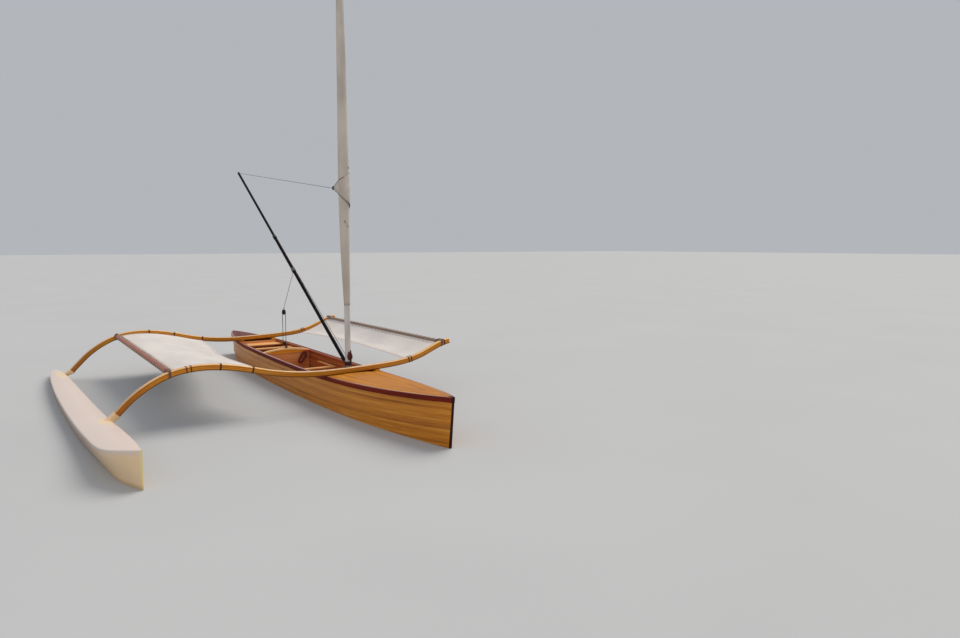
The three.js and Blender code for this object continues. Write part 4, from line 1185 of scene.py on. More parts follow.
BAND_PLACES = {
    "front": [(-1.875, 3), (-1.828, 3), (-1.527, 5), (-1.182, 5), (0.712, 4), (0.748, 4), (1.215, 5)],
    "rear": [(-1.602, 5), (-1.252, 5), (-0.852, 5), (0.712, 4), (0.748, 4), (1.215, 5)],
}

beam_top = smooth(*zip(*BEAM_TABLE))


def beam_frame(y):
    """Place on a beam's top edge, with the unit vectors along it and down through it."""
    step = 0.002
    rise = (beam_top(y) - beam_top(y - step)) / step
    size = math.hypot(1, rise)
    return np.array([0, y, beam_top(y)]), np.array([0, 1, rise]) / size, np.array([0, rise, -1]) / size


def beam_loop(y, beam_x, grow=0.0, steps=4):
    """Outline round a beam at y, grown outwards, and each point's drop from the top."""
    half = BEAM_WIDE / 2 + grow
    corners = [(-half, -grow), (half, -grow), (half, BEAM_TALL + grow), (-half, BEAM_TALL + grow)]
    outline = rounded(corners, BEAM_EDGE + grow, steps)
    top, _, down = beam_frame(y)
    return np.array([top + down * drop + (beam_x + x, 0, 0) for x, drop in outline]), outline[:, 1]


def make_beam(end, beam_x, float_y):
    """One crossbeam, from the float to its port tip, and its bands."""
    ys = np.linspace(float_y, BEAM_PORT_Y, BEAM_STATIONS)
    rows = [beam_loop(y, beam_x)[0] for y in ys]
    faces = []
    for ring, y, inward in ((rows[0], float_y, 1), (rows[-1], BEAM_PORT_Y, -1)):
        centre = ring.mean(axis=0)
        faces.append(centre + (ring - centre) * BEAM_END_SHRINK)
        ring += beam_frame(y)[1] * inward * BEAM_END_EASE
    marks = np.array([ys[0], *ys, ys[-1]])[:, None] + beam_x
    mesh = skin("beam", [faces[0], *rows, faces[1]], marks, beam_loop(0.0, beam_x)[1])
    stand_in(f"{end}_crossbeam", mesh, beam_wood, "beam_wood")
    bands = []
    for y, turns in BAND_PLACES[end]:
        loop, _ = beam_loop(y, beam_x, BAND_LINE * 0.9)
        step = tuple(beam_frame(y)[1] * BAND_LINE * 1.95)
        sizes = {"turns": turns, "step": step, "cord_radius": BAND_LINE}
        bands.append(grown("band", TURNS, [loop], lashing_line, closed=True, **sizes))
    place(joined(f"{end}_beam_bands", bands), "lashing_cord")


for end, measures in BEAMS.items():
    make_beam(end, *measures)

# Float, smooth between the stations of its solid, with soft deck edges. Columns: station, inboard and
# outboard edge, inset of the side at the chine, heights of the deck and the keel.

FLOAT_TABLE = [
    (-4.25, -2.783, -2.817, 0.004, 0.092, 0.04),
    (-4.1, -2.752, -2.845, 0.012, 0.104, -0.02),
    (-3.7, -2.722, -2.886, 0.016, 0.124, -0.07),
    (-3.1, -2.692, -2.918, 0.02, 0.138, -0.096),
    (-2.1, -2.662, -2.938, 0.028, 0.147, -0.112),
    (-1.0, -2.624, -2.93, 0.032, 0.152, -0.118),
    (0.0, -2.586, -2.908, 0.042, 0.17, -0.118),
    (0.65, -2.562, -2.891, 0.066, 0.202, -0.112),
    (1.24, -2.562, -2.872, 0.096, 0.245, -0.098),
    (1.55, -2.576, -2.832, 0.092, 0.276, -0.084),
    (1.77, -2.594, -2.712, 0.04, 0.302, -0.066),
    (1.9, -2.606, -2.618, 0.001, 0.32, -0.048),
]
FLOAT_EDGE = 0.014
FLOAT_STATIONS = 140
FLOAT_BOW_STATIONS = 24
FLOAT_CROWN = 0.08
CHINE_SHARE = 0.4
FLOAT_BILGE_SHARE = 0.35
FLOAT_BILGE_OUT = 0.72

FLOAT_X, *float_columns = zip(*FLOAT_TABLE)
float_lines = [smooth(FLOAT_X, column) for column in float_columns]


def float_section(x):
    """Closed outline of the float at x, as (y, z)."""
    inner, outer, inset, deck, keel = (curve(x) for curve in float_lines)
    centre, half = (inner + outer) / 2, (inner - outer) / 2
    low = max(0.0, keel + CHINE_SHARE * (deck - keel))
    edge = min(FLOAT_EDGE, 0.3 * half)
    sides = FLOAT_BILGE_OUT * (half - inset)
    bilge = keel + FLOAT_BILGE_SHARE * (low - keel)
    bottom = [(outer + inset, low), (centre - sides, bilge), (centre, keel), (centre + sides, bilge)]
    hull = evenly([*bottom, (inner - inset, low)], 17)
    corners = [(inner, deck), (centre, deck + FLOAT_CROWN * half * 2), (outer, deck), *hull]
    return rounded(corners, [edge, half * 0.7, edge] + [0.0] * len(hull), 5)


def make_float():
    """The float, whose lengths across are the drop from its deck."""
    spans = ((FLOAT_X[0], FLOAT_STATIONS), (FLOAT_X[-3], FLOAT_BOW_STATIONS))
    stations = np.unique(np.concatenate([np.linspace(start, FLOAT_X[-1], count) for start, count in spans]))
    rows = np.array([[(x, y, z) for y, z in float_section(x)] for x in stations])
    deck = np.array([float_lines[3](x) for x in stations])[:, None]
    mesh = skin("float", rows, stations[:, None], np.maximum(deck - rows[:, :, 2], 0.0), crease=50.0)
    return stand_in("float", mesh, float_white, "float_coat")


SOCKET_WALL = 0.008
SOCKET_LIP = 0.003
SOCKET_MOUTH = 0.86
SOCKET_FLARE = 0.026
SOCKET_REACH = 0.115
SOCKET_STRAIGHT = 0.4
SOCKET_SUNK = 0.0006


def make_socket(end, beam_x, float_y, surface):
    """Sleeve in line with a beam's end, whose foot runs out softly over the float."""
    loop, _ = beam_loop(float_y, beam_x, SOCKET_WALL, 6)
    way = -beam_frame(float_y)[1]
    centre = loop.mean(axis=0)
    hits, feet = [], []
    for point in loop:
        hit, normal, _, far = surface.ray_cast(Vector(point), Vector(way))
        if hit is None or far > SOCKET_REACH:
            hit, normal, _, _ = surface.find_nearest(Vector(point + way * SOCKET_REACH * 0.8))
        outward = Vector(point - centre)
        outward -= normal * outward.dot(normal)
        foot, normal, _, _ = surface.find_nearest(hit + outward.normalized() * SOCKET_FLARE)
        hits.append(hit)
        feet.append(foot - normal * SOCKET_SUNK)
    hits, feet = np.array(hits), np.array(feet)
    bend = loop + (hits - loop) * SOCKET_STRAIGHT
    rings = [centre + (loop - centre) * SOCKET_MOUTH + way * GAP, loop + way * SOCKET_LIP]
    rings += [loop + (hits - loop) * share for share in (0.2, 0.38)]
    rings += [(1 - t) ** 2 * bend + 2 * t * (1 - t) * hits + t * t * feet for t in np.linspace(0, 1, 8)]
    stand_in(f"{end}_socket", skin("socket", rings, crease=60.0), socket_cream, "socket_coat")


float_mesh = make_float().data
float_points, float_faces = [v.co for v in float_mesh.vertices], [f.vertices for f in float_mesh.polygons]
float_surface = BVHTree.FromPolygons(float_points, float_faces)
for end, measures in BEAMS.items():
    make_socket(end, *measures, float_surface)

# Spars of the nets with their lashings and lacing

FLOAT_SPAR = (-2.03, 0.588, 0.030)
PORT_SPAR = (1.195, 0.680, 0.020)
SPAR_AFT, SPAR_FORE = -3.6847, -0.0303
LASH_RADIUS = 0.0032
LASH_TURNS = 9.0
LASH_INSET = 0.045
HITCH_TURNS = 4
HITCH_LIFT = 0.004
HITCH_OVER = 0.03
HITCH_ASIDE = 0.011
HITCH_UNDER = BEAM_TALL * 1.06
HITCH_EASES = (0.012, 0.01, 0.02, 0.02, 0.01, 0.012)
LACE_RADIUS = 0.0030
LACE_TURNS = 31.0
LACE_INSET = 0.1
LACE_REACH = 0.036
LACE_SHARPNESS = 14.0
LACE_POINTS = 24.0
LACE_PITCH = 0.115


def make_lashing(name, measures, end, end_x, ahead, material):
    """Turns round a spar's end and a hitch over its beam. ahead is 1 where the spar lies ahead of it."""
    y, z, radius = measures
    beam_x = BEAMS[end][0]
    middle = end_x + ahead * LASH_INSET
    half = LASH_RADIUS * LASH_TURNS
    axis = [(middle - half, y, z), (middle + half, y, z)]
    sizes = {"turns": LASH_TURNS, "winding_radius": radius + LASH_RADIUS, "cord_radius": LASH_RADIUS}
    wound = grown("lashing", LACED, [axis], material, **sizes)
    far, near = beam_x - ahead * (BEAM_WIDE / 2 + LASH_RADIUS), beam_x + ahead * HITCH_OVER
    top, low = z + radius + LASH_RADIUS * 2, z - radius - LASH_RADIUS * 2
    beam_high, beam_low = beam_top(y) + LASH_RADIUS + HITCH_LIFT, beam_top(y) - HITCH_UNDER - LASH_RADIUS
    corners = [(far, beam_high), (near, beam_high), (middle, top), (middle, low)]
    corners += [(near, min(beam_low, low)), (far, beam_low)]
    loop = [(x, y - HITCH_ASIDE, height) for x, height in rounded(corners, HITCH_EASES)]
    step = tuple(beam_frame(y)[1] * LASH_RADIUS * 2.05)
    sizes = {"turns": HITCH_TURNS, "step": step, "cord_radius": LASH_RADIUS}
    hitch = grown("hitch", TURNS, [loop], material, closed=True, **sizes)
    node = f"{name}_lashing_{end}"
    place(joined(node + "_made", [wound, hitch]), "lashing_cord", node=node)


def make_spar(name, measures, material, lines, towards):
    """Spar with its lashings, and the lacing to its net. towards is the net's side and its drop."""
    y, z, radius = measures
    bar = round_bar(name, line((SPAR_AFT, y, z), (SPAR_FORE, y, z), 40), radius, 36, 0.003)
    stand_in(name, bar, material, "spar_wood")
    make_lashing(name, measures, "rear", SPAR_AFT, 1, lines[0])
    make_lashing(name, measures, "front", SPAR_FORE, -1, lines[1])
    axis = [(SPAR_AFT + LACE_INSET, y, z), (SPAR_FORE - LACE_INSET, y, z)]
    sizes = {
        "turns": LACE_TURNS,
        "winding_radius": radius + LACE_RADIUS * 0.9,
        "reach": LACE_REACH,
        "reach_sharpness": LACE_SHARPNESS,
        "side": (0.0, *towards),
        "cord_radius": LACE_RADIUS,
        "points_per_turn": LACE_POINTS,
    }
    place(grown(f"{name}_lacing", LACED, [axis], lace_line, **sizes), "net")


red_and_grey, both_grey = (lashing_line, spar_lashing_line), (spar_lashing_line, spar_lashing_line)
make_spar("float_side_spar", FLOAT_SPAR, float_spar_wood, red_and_grey, (1.0, -0.12))
make_spar("port_spar", PORT_SPAR, port_spar_wood, both_grey, (-1.0, -0.45))

# Nets: one sheet each, sagging between the beams, with a folded edging, its stitches and its eyelets

NET_DROP = 0.030
NET_THICK = 0.0022
NET_SAG = 0.022
NET_AFT_DROP = 0.030
NET_ROWS, NET_COLUMNS = 71, 45
NET_PULL = 0.0016
FLOAT_NET = ([0, 0.12, 0.25, 0.4, 0.6, 0.85, 1], [-1.0, -1.1, -1.2, -1.17, -1.055, -0.925, -0.855])
PORT_NET = ([0, 0.14, 0.35, 0.57, 0.75, 1], [0.715, 0.745, 0.775, 0.79, 0.765, 0.705])
EDGING = 0.038
EDGING_LIFT = 0.0021
EDGING_FOLD = 0.002
SEAM_INSETS = (0.006, EDGING - 0.005)
SEAM_LIFT = 0.0022
STITCH_THREAD = 0.0006
STITCH_PITCH = 0.011
STITCH_WANDER = 0.08
STITCH_PATH = [(-0.0028, 0, -0.0003), (-0.0012, 0, 0.0005), (0.0012, 0, 0.0005), (0.0028, 0, -0.0003)]
EYELET_LEVELS = [(-0.0012, 0.0062), (-0.0012, 0.0105), (0.0008, 0.0112), (0.002, 0.0095), (0.0014, 0.0068)]
EYELET_INSET = 0.022
EYELET_LIFT = 0.0026


def net_surface(edge_table, spar_y, towards):
    """Point of a net at its share aft and its share from the spar to the inboard edge."""
    edge = smooth(*edge_table)
    front, back = SPAR_FORE - 0.002, SPAR_AFT + 0.002

    def at(share, over):
        y = spar_y + towards + (edge(share) - spar_y - towards) * over
        sag = NET_SAG * math.sin(math.pi * share) * math.sin(math.pi * over)
        sag += NET_AFT_DROP * over**0.5 * share**3
        pull = NET_PULL * math.sin(share * 62) * (1 - over) ** 3
        return np.array([front + (back - front) * share, y, beam_top(y) - NET_DROP - sag + pull])

    return at


def inward(surface, spot, way):
    """Point of a surface at its shares, and the unit vector from it where the shares change by a way."""
    here = surface(*spot)
    return here, unit(surface(spot[0] + way[0] * 0.01, spot[1] + way[1] * 0.01) - here)


def edging_strip(spots):
    """Folded edging along points that each have their way inwards."""
    lift = UP * EDGING_LIFT
    rows = []
    for outer, way in spots:
        inner = outer + way * EDGING
        rows.append([outer - lift, outer + lift, inner + lift, inner - lift])
    far = lengths([outer for outer, _ in spots])[:, None]
    across = np.array([0, EDGING_FOLD, EDGING, EDGING + EDGING_FOLD])
    return lay("edging", skin("edging", rows, far, across, crease=30.0), edging_cloth)


def make_net(name, spar, edge_table, towards):
    """Net with its edging, stitches and eyelets."""
    surface = net_surface(edge_table, spar[0], towards)
    shares = np.linspace(0, 1, NET_ROWS)
    rows = np.array([[surface(share, over) for over in np.linspace(0, 1, NET_COLUMNS)] for share in shares])
    sheet = cloth(name + "_made", rows, -rows[:, :, 0], rows[:, :, 1], net_cloth, NET_THICK)
    place(sheet, "net", node=name)
    edges = [((0, 1), [(t, 0.0) for t in shares]), ((0, -1), [(t, 1.0) for t in shares])]
    edges += [((1, 0), [(0.0, t) for t in shares]), ((-1, 0), [(1.0, t) for t in shares])]
    strips, seams = [], []
    for way, route in edges:
        spots = [inward(surface, spot, way) for spot in route]
        strips.append(edging_strip(spots))
        for inset in SEAM_INSETS:
            seams.append([outer + to_inner * inset + UP * SEAM_LIFT for outer, to_inner in spots])
    edging = place(joined(name + "_edging", strips), "net")
    stitch = lay("stitch", round_bar("stitch", STITCH_PATH, STITCH_THREAD, 5), lace_line)
    stitches = row_of(name + "_stitches", seams, stitch, STITCH_PITCH, lace_line, STITCH_WANDER)
    place(stitches, "net")
    ring = stacked("eyelet", oval(1, 1, 14), EYELET_LEVELS, steel, crease=30.0)
    _, to_inner = inward(surface, (0.5, 0.0), (0, 2))
    shift = to_inner * EYELET_INSET + UP * EYELET_LIFT
    laced = [surface(t, 0.0) + shift for t in np.linspace(0.035, 0.965, 40)]
    eyelets = place(row_of(name + "_eyelets", [laced], ring, LACE_PITCH, steel), "fitting")
    for small in (stitch, ring):
        bpy.data.objects.remove(small)


make_net("float_side_net", FLOAT_SPAR, FLOAT_NET, 0.0373)
make_net("port_net", PORT_SPAR, PORT_NET, -0.0273)

# Mast, leaning back a little, and the sail rolled on it

MAST_X = -0.150
MAST_RAKE = math.radians(0.5)
PARTNER_Z = 0.400
MAST_RADIUS = 0.034
MAST_TIP_RADIUS = 0.017
MAST_TAPER_Z = 1.150
MAST_TOP_Z = 6.250
MAST_FOOT_Z = -0.070


def on_mast(x, y, z):
    """Place beside the mast, measured from its axis, as it leans."""
    up = z - PARTNER_Z
    cos, sin = math.cos(-MAST_RAKE), math.sin(-MAST_RAKE)
    return np.array([MAST_X + x * cos + up * sin, y, PARTNER_Z - x * sin + up * cos])


def round_mast(radius, angle, z):
    """Place at a radius and an angle round the mast."""
    return on_mast(radius * math.cos(angle), radius * math.sin(angle), z)


def mast_radius(z):
    """Radius of the mast, which tapers from above the boom's foot to the top."""
    return np.interp(z, (MAST_TAPER_Z, MAST_TOP_Z), (MAST_RADIUS, MAST_TIP_RADIUS))


def make_mast():
    """The mast's tube."""
    heights = [*np.linspace(MAST_FOOT_Z, MAST_TAPER_Z, 20), *np.linspace(MAST_TAPER_Z, MAST_TOP_Z, 60)[1:]]
    radii = [mast_radius(z) for z in heights]
    bar = round_bar("mast", [on_mast(0, 0, z) for z in heights], radii, 48, 0.004)
    stand_in("mast_tube", bar, mast_white, "mast_tube", "mast")


SAIL_Z = [1.18, 1.5, 1.95, 2.4, 2.8, 3.4, 4.2, 5.1, 6.12]
SAIL_RADIUS = [0.040, 0.049, 0.058, 0.0645, 0.065, 0.060, 0.053, 0.040, 0.024]
SAIL_ROWS = 120
SAIL_STEP = 0.0155
SAIL_THICK = 0.0010
SAIL_SLACK = 0.009
SLACK_ANGLE = math.radians(-124)
SLACK_RISE = 0.7
CLOTH_PITCH = 0.0042
CLOTH_START = 0.0018
EDGE_TUCK = 0.16
LEECH_ANGLE = math.radians(150)

sail_radius = smooth(SAIL_Z, SAIL_RADIUS)


def cloth_wide(z):
    """How much cloth is rolled at a height, from the roll's thickness."""
    inner = mast_radius(z) + 0.0015
    return max(0.02, math.pi * ((sail_radius(z) - 0.002) ** 2 - inner**2) / CLOTH_PITCH)


def folds(angle, z):
    """How far the roll stands out: long soft pleats that run up it and twist slowly."""
    twist = angle + 0.35 * z
    deep = math.sin(3 * twist + 1.3 * math.sin(1.7 * z)) * 0.35
    fine = math.sin(7 * twist + 2.1 * math.sin(1.1 * z + 1.0)) * 0.35
    crisp = math.sin(13 * twist - 1.7 * math.sin(2.3 * z)) * 0.18
    pinch = 0.5 + 0.5 * math.sin(5.1 * z + 0.6 * math.sin(2 * angle))
    return (deep + fine + crisp) * (0.0022 + 0.0014 * pinch)


def cloth_point(z, from_leech):
    """Place of the rolled cloth at a height, so far from its leech, which lies on the turn below it."""
    inner = mast_radius(z) + CLOTH_START
    wide = cloth_wide(z)
    from_mast = np.array([wide, max(wide - from_leech, 0.0)])
    outer, radius = np.sqrt(inner**2 + from_mast * CLOTH_PITCH / math.pi)
    turn = LEECH_ANGLE - TURN * (outer - radius) / CLOTH_PITCH
    share = min(1.0, (radius - inner) / 0.012)
    tuck = max(0.0, 1 - from_leech / EDGE_TUCK)
    radius += folds(turn, z) * share - (CLOTH_PITCH - 2.2 * SAIL_THICK) * tuck**2
    slack = SAIL_SLACK * share * min(1.0, (z - SAIL_Z[0]) / SLACK_RISE)
    x = radius * math.cos(turn) + slack * math.cos(SLACK_ANGLE)
    return on_mast(x, radius * math.sin(turn) + slack * math.sin(SLACK_ANGLE), z)


def make_sail():
    """The sail, in one spiral from the mast to its leech."""
    heights = np.linspace(SAIL_Z[0] + 0.005, SAIL_Z[-1] - 0.005, SAIL_ROWS)
    widths = [cloth_wide(z) for z in heights]
    spots = np.arange(int(max(widths) / SAIL_STEP) + 2) * SAIL_STEP
    rows = [[cloth_point(z, min(s, wide)) for s in spots] for z, wide in zip(heights, widths)]
    sail = cloth("rolled_sail", rows, heights[:, None], spots, sail_cloth, SAIL_THICK, 70.0)
    sail.data.shade_smooth()
    place(sail, "sail_cloth", "mast", "furled_sail")


make_mast()
make_sail()

# The sail's corner that the outhaul pulls off the roll, with its edge cords, patch and ring, and the ties

CLEW = np.array([-0.500, 0.0, 2.577])
CORNER_LONG = 0.58
CORNER_FAR = [0.0, 0.1, 0.2, 0.28, 0.324, 0.36, 0.40, 0.45, 0.48, 0.58]
CORNER_RISE = [0.012, 0.026, 0.044, 0.057, 0.0645, 0.0745, 0.094, 0.118, 0.130, 0.165]
CORNER_FALL = [0.012, 0.0355, 0.061, 0.0814, 0.0945, 0.1134, 0.146, 0.186, 0.208, 0.270]
CORNER_PATCH = 0.075
CORNER_BELLY = 0.007
CORNER_TUCK = 0.007
ROLL_EDGE = 0.003
PATCH_OUT = 0.0012
EDGE_CORD = 0.0024
EDGE_CORD_OUT = 0.0022
UPPER_CORD_END = 0.4155
LOWER_CORD_END = 0.4834
TIE_CORD = 0.0030
TIES = [(2.175, math.radians(-26)), (2.125, math.radians(2)), (2.80, math.radians(24))]
TIE_SHAPE = [(0.001, -0.1, 0.0), (0.004, -0.06, 0.004), (0.005, 0.05, 0.012), (0.004, 0.12, 0.024)]
TIE_SHAPE += [(0.001, 0.14, 0.028)]

corner_rise, corner_fall = smooth(CORNER_FAR, CORNER_RISE), smooth(CORNER_FAR, CORNER_FALL)


def corner_point(level, far, out=0.0):
    """Place on the sail's corner: far from its ring, at a level from -1 (foot) to 1 (leech), so far out."""
    z = CLEW[2] + level * (corner_rise(far) if level > 0 else corner_fall(far))
    past = far - (UPPER_CORD_END if level > 0 else LOWER_CORD_END)
    radius = sail_radius(z) + ROLL_EDGE + out - CORNER_TUCK * min(max(past / 0.05, 0.0), 1.0)
    middle = sail_radius(CLEW[2]) + ROLL_EDGE
    back = on_mast(0, 0, CLEW[2])[0] - CLEW[0]
    tangent = math.pi + math.acos(middle / back)
    straight = math.sqrt(back**2 - middle**2)
    if far >= straight:
        return round_mast(radius, tangent + (far - straight) / middle, z)
    tip = np.array([CLEW[0], -out, z])
    spot = tip + (round_mast(radius, tangent, z) - tip) * far / straight
    spot[1] -= CORNER_BELLY * math.sin(math.pi * far / straight) * (1 - level**2)
    return spot


def corner_sheet(name, end, out, material, count):
    """Strip of the corner's cloth from the ring to a distance from it."""
    spots = np.linspace(0.0, end, count)
    rows = np.array([[corner_point(level, far, out) for level in np.linspace(-1, 1, 17)] for far in spots])
    return cloth(name, rows, rows[:, :, 2], spots[:, None], material, SAIL_THICK)


def make_corner():
    """The corner, its patch, cords and ring, and the ties round the roll."""
    place(corner_sheet("sail_corner", CORNER_LONG, 0.0, sail_cloth, 64), "sail_cloth", "mast")
    patches = [corner_sheet("patch", CORNER_PATCH, out, patch_cloth, 8) for out in (-PATCH_OUT, PATCH_OUT)]
    place(joined("sail_corner_patch", patches), "sail_cloth", "mast")
    cords = []
    for level, end in ((1.0, UPPER_CORD_END), (-1.0, LOWER_CORD_END)):
        cords.append([corner_point(level, far, EDGE_CORD_OUT) for far in np.linspace(0.004, end, 40)])
    place(cord_on("sail_edge_cords", cords, EDGE_CORD, dark_line, 0.006), "lashing_cord", "mast")
    ties = []
    for z, angle in TIES:
        spots = [(sail_radius(z) + out, angle + turn, z - drop) for out, turn, drop in TIE_SHAPE]
        ties.append([round_mast(*spot) for spot in spots])
    place(cord_on("sail_ties", ties, TIE_CORD, dark_line, 0.004), "lashing_cord", "mast")
    ring = [CLEW + (a - 0.010, 0, b) for a, b in oval(0.016, 0.018, 24)]
    place(loop_of("sail_corner_ring", ring, 0.0065, black_fitting), "fitting", "mast")


make_corner()

# Boom

BOOM_PIVOT = np.array([-0.22278, 0.0, 0.48937])
BOOM_ANGLE = math.radians(31.2)
BOOM_START = 0.042
BOOM_JOINT = 2.970
BOOM_LENGTH = 4.945
BOOM_RADIUS = 0.022
BOOM_UPPER_RADIUS = 0.018
STROP_ENDS = (2.005, 2.075)
STROP_CORD = 0.0032
STROP_OUT = 0.0034
STROP_TURNS = 11.0


def on_boom(far, up=0.0):
    """Place on the lifted boom: so far from its pivot, and up from its axis."""
    cos, sin = math.cos(BOOM_ANGLE), math.sin(BOOM_ANGLE)
    return BOOM_PIVOT + (-far * cos + up * sin, 0.0, far * sin + up * cos)


def make_boom():
    """The boom's two tubes and the strop that is wound on the lower one."""
    tubes = [
        ("boom_lower", BOOM_START, BOOM_JOINT, BOOM_RADIUS),
        ("boom_upper", BOOM_JOINT, BOOM_LENGTH, BOOM_UPPER_RADIUS),
    ]
    for node, start, end, radius in tubes:
        bar = round_bar(node, line(on_boom(start + GAP), on_boom(end), 60), radius, 40, 0.003)
        stand_in(node, bar, carbon_black, "carbon", "boom")
    up = tuple(on_boom(0, 1.0) - on_boom(0))
    wound = BOOM_RADIUS + STROP_OUT
    sizes = {"turns": STROP_TURNS, "winding_radius": wound, "up": up, "cord_radius": STROP_CORD}
    strop = grown("sheet_strop_made", LACED, [[on_boom(far) for far in STROP_ENDS]], grey_line, **sizes)
    place(strop, "fitting", "boom", "sheet_strop")


make_boom()

# Cleats with the line made fast on one, and the boot of the mast

COIL_TURNS = 8
COIL_POINTS = 24
COIL_SIZES = ((0.025, 0.038), (0.016, 0.029))
COIL_NEAR = 0.006
COIL_STEP = 0.0046
COIL_Z = 0.580
COIL_LINE = 0.0042
BOOT_INNER = 0.0395
BOOT_PROFILE = [(BOOT_INNER, 0.0004), (0.058, 0.0004), (0.060, 0.004), (0.058, 0.030), (0.053, 0.046)]
BOOT_PROFILE += [(BOOT_INNER, 0.048)]


def horn_cleat(node, length, axis, material, slot, body="canoe"):
    """Cleat that stands forwards from the aft face of its node's box, with its horns along axis."""
    low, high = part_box(node)
    base = np.array([low[0], (low[1] + high[1]) / 2, (low[2] + high[2]) / 2])
    rise = length * 0.26
    shares = np.linspace(-1, 1, 25)
    horns = [base + axis * (t * length / 2) + AHEAD * rise * (1 + 0.16 * t * t) for t in shares]
    parts = [lay("horns", round_bar("horns", horns, length * (0.085 - 0.045 * shares**2), 16), material)]
    for side in (-1, 1):
        foot, head = (base + axis * side * length * share for share in (0.2, 0.14))
        path = evenly([foot, foot + AHEAD * rise * 0.5, head + AHEAD * rise], 8)
        leg = round_bar("leg", path, np.linspace(length * 0.085, length * 0.055, 8), 14)
        parts.append(lay("leg", leg, material))
    half_wide, thick = length * 0.1, length * 0.05
    outline = oblong(length * 0.34, half_wide, half_wide * 0.95, 6)
    levels = [(0.0, 1.0), (thick * 0.7, 1.0), (thick, 0.86)]
    ways = (axis, np.cross(axis, AHEAD), AHEAD)
    parts.append(stacked("plate", outline, levels, material, base, ways))
    place(joined(node + "_made", parts), slot, body, node)


def make_cleats():
    """Both cleats, and the line in turns on the mast's."""
    horn_cleat("line_cleat", 0.095, PORT, cleat_red_finish, "cleat")
    horn_cleat("mast_cleat", 0.15, UP, dark_red_fitting, "fitting", "mast")
    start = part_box("mast_cleat")[0][0] + COIL_NEAR
    turns = []
    for k in range(COIL_TURNS * COIL_POINTS):
        angle = TURN * k / COIL_POINTS
        wide, tall = COIL_SIZES[k // COIL_POINTS % 2]
        out = start + COIL_STEP * k / COIL_POINTS
        turns.append((out, wide * math.cos(angle), COIL_Z + tall * math.sin(angle)))
    place(cord_on("line_on_mast_cleat", [turns], COIL_LINE, red_line, 0.006), "lashing_cord", "mast")


def make_boot():
    """Turned ring on the partner, round the mast's foot."""
    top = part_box("mast_partner")[1][2]
    rows = []
    for cos, sin in oval(1, 1, 48):
        rows.append([(MAST_X + r * cos, r * sin, top + rise) for r, rise in BOOT_PROFILE])
    mesh = skin("mast_boot", [*rows, rows[0]], ends=False)
    place(lay("mast_boot", mesh, mahogany), "dark_wood")


make_cleats()
make_boot()

# The mainsheet's blocks, and the taut lines

ANCHOR = np.array([-2.35, 0.0, 0.4193])
ANCHOR_PLATE = [(0.0, 1.0), (0.003, 1.0), (0.0045, 0.9)]
ANCHOR_CHEEK = [(0.0, 0.85), (0.0015, 1.0), (0.005, 1.0), (0.0065, 0.85)]
ANCHOR_GAPS = (0.0045, 0.0042)
ANCHOR_WHEEL = [0.0125, 0.0115, 0.0105, 0.0115, 0.0125]
BLOCK = np.array([-2.42, 0.0, 0.93])
FOOT_BLOCK = np.array([-2.42, 0.0, 0.474])
BLOCK_CHEEK = [(0.0, 0.9), (0.002, 1.0), (0.006, 1.0), (0.009, 0.8)]
BLOCK_GAPS = (0.007, 0.0065)
BLOCK_WHEEL = np.array([1.0, 0.9, 0.84, 0.9, 1.0]) * 0.92
LEG_CORD = 0.003


def cheeks_and_wheel(centre, pin, outline, levels, gaps, radii, drop=0.0):
    """Grooved wheel between two cheeks. gaps are the cheeks' and the wheel's reach along the pin."""
    flat = AHEAD + PORT - pin
    parts = []
    for side in (-1, 1):
        base = centre + pin * side * gaps[0]
        parts.append(stacked("cheek", outline, levels, black_fitting, base, (flat, UP, pin * side)))
    hub = centre + UP * drop
    wheel = round_bar("wheel", line(hub - pin * gaps[1], hub + pin * gaps[1], 5), radii, 24)
    return [*parts, lay("wheel", wheel, black_fitting)]


def make_anchor():
    """Block on a plate on the arched beam, where the falls of the sheet end."""
    plate = stacked("plate", oblong(0.02, 0.022, 0.008, 4), ANCHOR_PLATE, black_fitting, ANCHOR)
    centre, outline = ANCHOR + UP * 0.020, oval(0.0155, 0.0125, 24)
    parts = cheeks_and_wheel(centre, PORT, outline, ANCHOR_CHEEK, ANCHOR_GAPS, ANCHOR_WHEEL)
    place(joined("sheet_anchor_made", [plate, *parts]), "fitting", node="sheet_anchor")


def sheave_block(name, centre, reach, eye_side, body):
    """Block with an eye above (1) or below (-1)."""
    outline = oval(reach, 1.5 * reach, 28)
    drop = -0.3 * reach * eye_side
    parts = cheeks_and_wheel(centre, AHEAD, outline, BLOCK_CHEEK, BLOCK_GAPS, BLOCK_WHEEL * reach, drop)
    middle = centre + UP * eye_side * (1.5 * reach + 0.008)
    eye = loop_of("eye", [middle + (0, a, b) for a, b in oval(0.010, 0.013, 20)], 0.003, black_fitting)
    place(joined(name, [*parts, eye]), "fitting", body)


def make_foot_strop():
    """Two legs that hold the foot block to its anchor."""
    low, anchor = FOOT_BLOCK - UP * 0.041, ANCHOR + (-0.004, 0, 0.022)
    legs = []
    for side in (-1, 1):
        start, bend = low + (0, side * 0.002, 0.004), low + (0.012, side * 0.006, -0.001)
        legs.append([start, bend, anchor + PORT * side * 0.009])
    place(cord_on("sheet_foot_strop", legs, LEG_CORD, grey_line, 0.006), "lashing_cord")


def taut_line(name, runs, cord, spacing):
    """Line that crosses a joint, laid as a cord and left where it is made, on no body."""
    piece = cord_on(name, runs, *cord, spacing)
    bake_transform(piece)


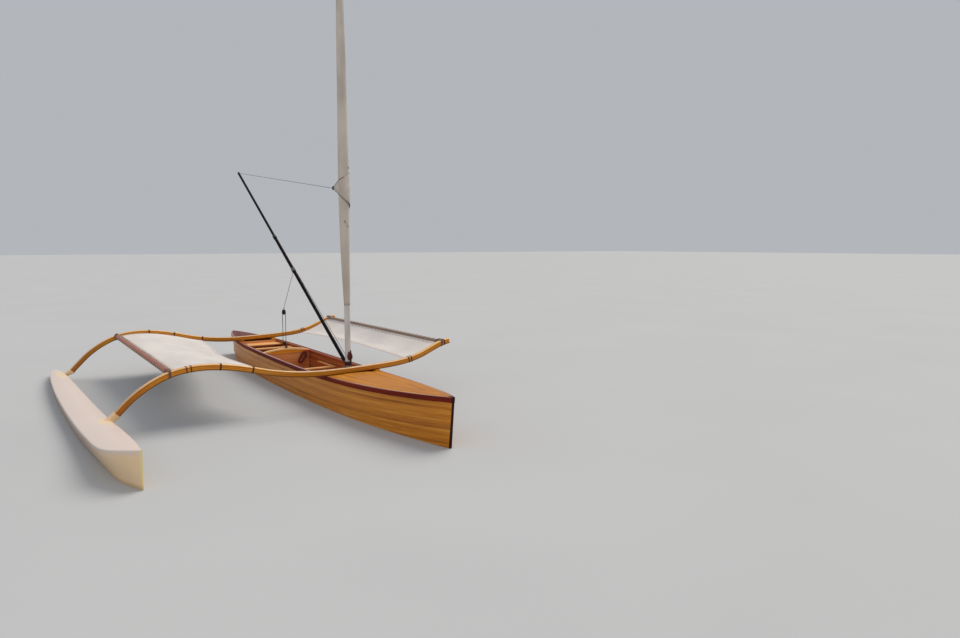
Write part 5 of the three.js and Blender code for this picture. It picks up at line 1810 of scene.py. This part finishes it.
def make_lines():
    """Outhaul, the line over the boom, and the mainsheet's upper part and falls."""
    thick_grey, thin_red, thick_dark = (0.003, grey_line), (0.0026, red_line), (0.004, dark_line)
    ring, tip = CLEW - AHEAD * 0.024, on_boom(BOOM_LENGTH + 0.02, 0.004)
    taut_line("outhaul_line", [line(ring, tip, 60)], thick_grey, 0.05)
    low, high = on_mast(-MAST_RADIUS - 0.003, 0.0, 0.56), on_boom(2.75, BOOM_RADIUS + 0.004)
    taut_line("line_over_boom", [line(low, high, 50)], thin_red, 0.05)
    block, strop = BLOCK + UP * 0.054, on_boom(2.04, -BOOM_RADIUS - 0.006)
    taut_line("sheet_upper_part", [line(block, strop, 40)], thick_grey, 0.03)
    falls = []
    for side in (-1, 1):
        falls.append(line(FOOT_BLOCK + (0, side * 0.021, 0.004), BLOCK + (0, side * 0.0225, -0.010), 40))
    taut_line("sheet_falls", falls, thick_dark, 0.02)


make_anchor()
sheave_block("sheet_block", BLOCK, 0.025, 1, "mast")
sheave_block("sheet_foot_block", FOOT_BLOCK, 0.016, -1, "canoe")
make_foot_strop()
make_lines()

# Floor at the waterline, and soft studio light

FLOOR_HALF = 150.0
OPENING_X = (-4.9, 2.15)
OPENING_INSET = 0.004
SKY_STRENGTH = 0.58
LAMPS = [
    ("key", (-0.35, 1.25, 1.7), 45.0, 2.3, "#fff3e4"),
    ("fill", (1.0, -0.75, 0.8), 70.0, 0.55, "#fff4e8"),
]


def floor_mesh():
    """Square at the waterline with an opening inside the hull's planking, so that the bilge is seen."""
    side = []
    for x in np.linspace(*OPENING_X, 80):
        port = hull_section(x)[HULL_COLUMNS // 2 :]
        side.append((x, np.interp(0.0, port[:, 1], port[:, 0]) - OPENING_INSET))
    opening = [(x, -y, 0.0) for x, y in side] + [(x, y, 0.0) for x, y in side[::-1]]
    square = [(a * FLOOR_HALF, b * FLOOR_HALF, 0.0) for a, b in SQUARE]
    work = bmesh.new()
    for loop in (square, opening):
        corners = [work.verts.new(point) for point in loop]
        for k, corner in enumerate(corners):
            work.edges.new((corners[k - 1], corner))
    bmesh.ops.triangle_fill(work, use_beauty=True, edges=work.edges, normal=(0, 0, 1))
    mesh = bpy.data.meshes.new("floor")
    work.to_mesh(mesh)
    work.free()
    return mesh


def make_stage():
    """Pale floor, an even sky and two wide lamps."""
    made = Finish("floor_paint")
    clouds = made.noise(made.axes(), 0.4, 2.0)
    material = made.close(made.mix(clouds, "#b2b6ba", "#babec2"), clouds * 0.05 + 0.85)
    lay("floor", floor_mesh(), material)
    world = bpy.data.worlds.new("studio")
    world.use_nodes = True
    sky = Bench(world.node_tree)
    light = sky.node("ShaderNodeBackground", {"Color": "#e4e8ee", "Strength": SKY_STRENGTH})
    sky.node("ShaderNodeOutputWorld", {"Surface": light})
    bpy.context.scene.world = world
    for name, way, spread, strength, code in LAMPS:
        data = bpy.data.lights.new(name, "SUN")
        data.angle, data.energy, data.color = math.radians(spread), strength, tint(code)[:3]
        lamp = add_object(name, data)
        lamp.location = Vector(way) * 10
        lamp.rotation_euler = (-Vector(way)).to_track_quat("-Z", "Y").to_euler()
    bpy.context.scene.view_settings.view_transform = "Standard"


make_stage()
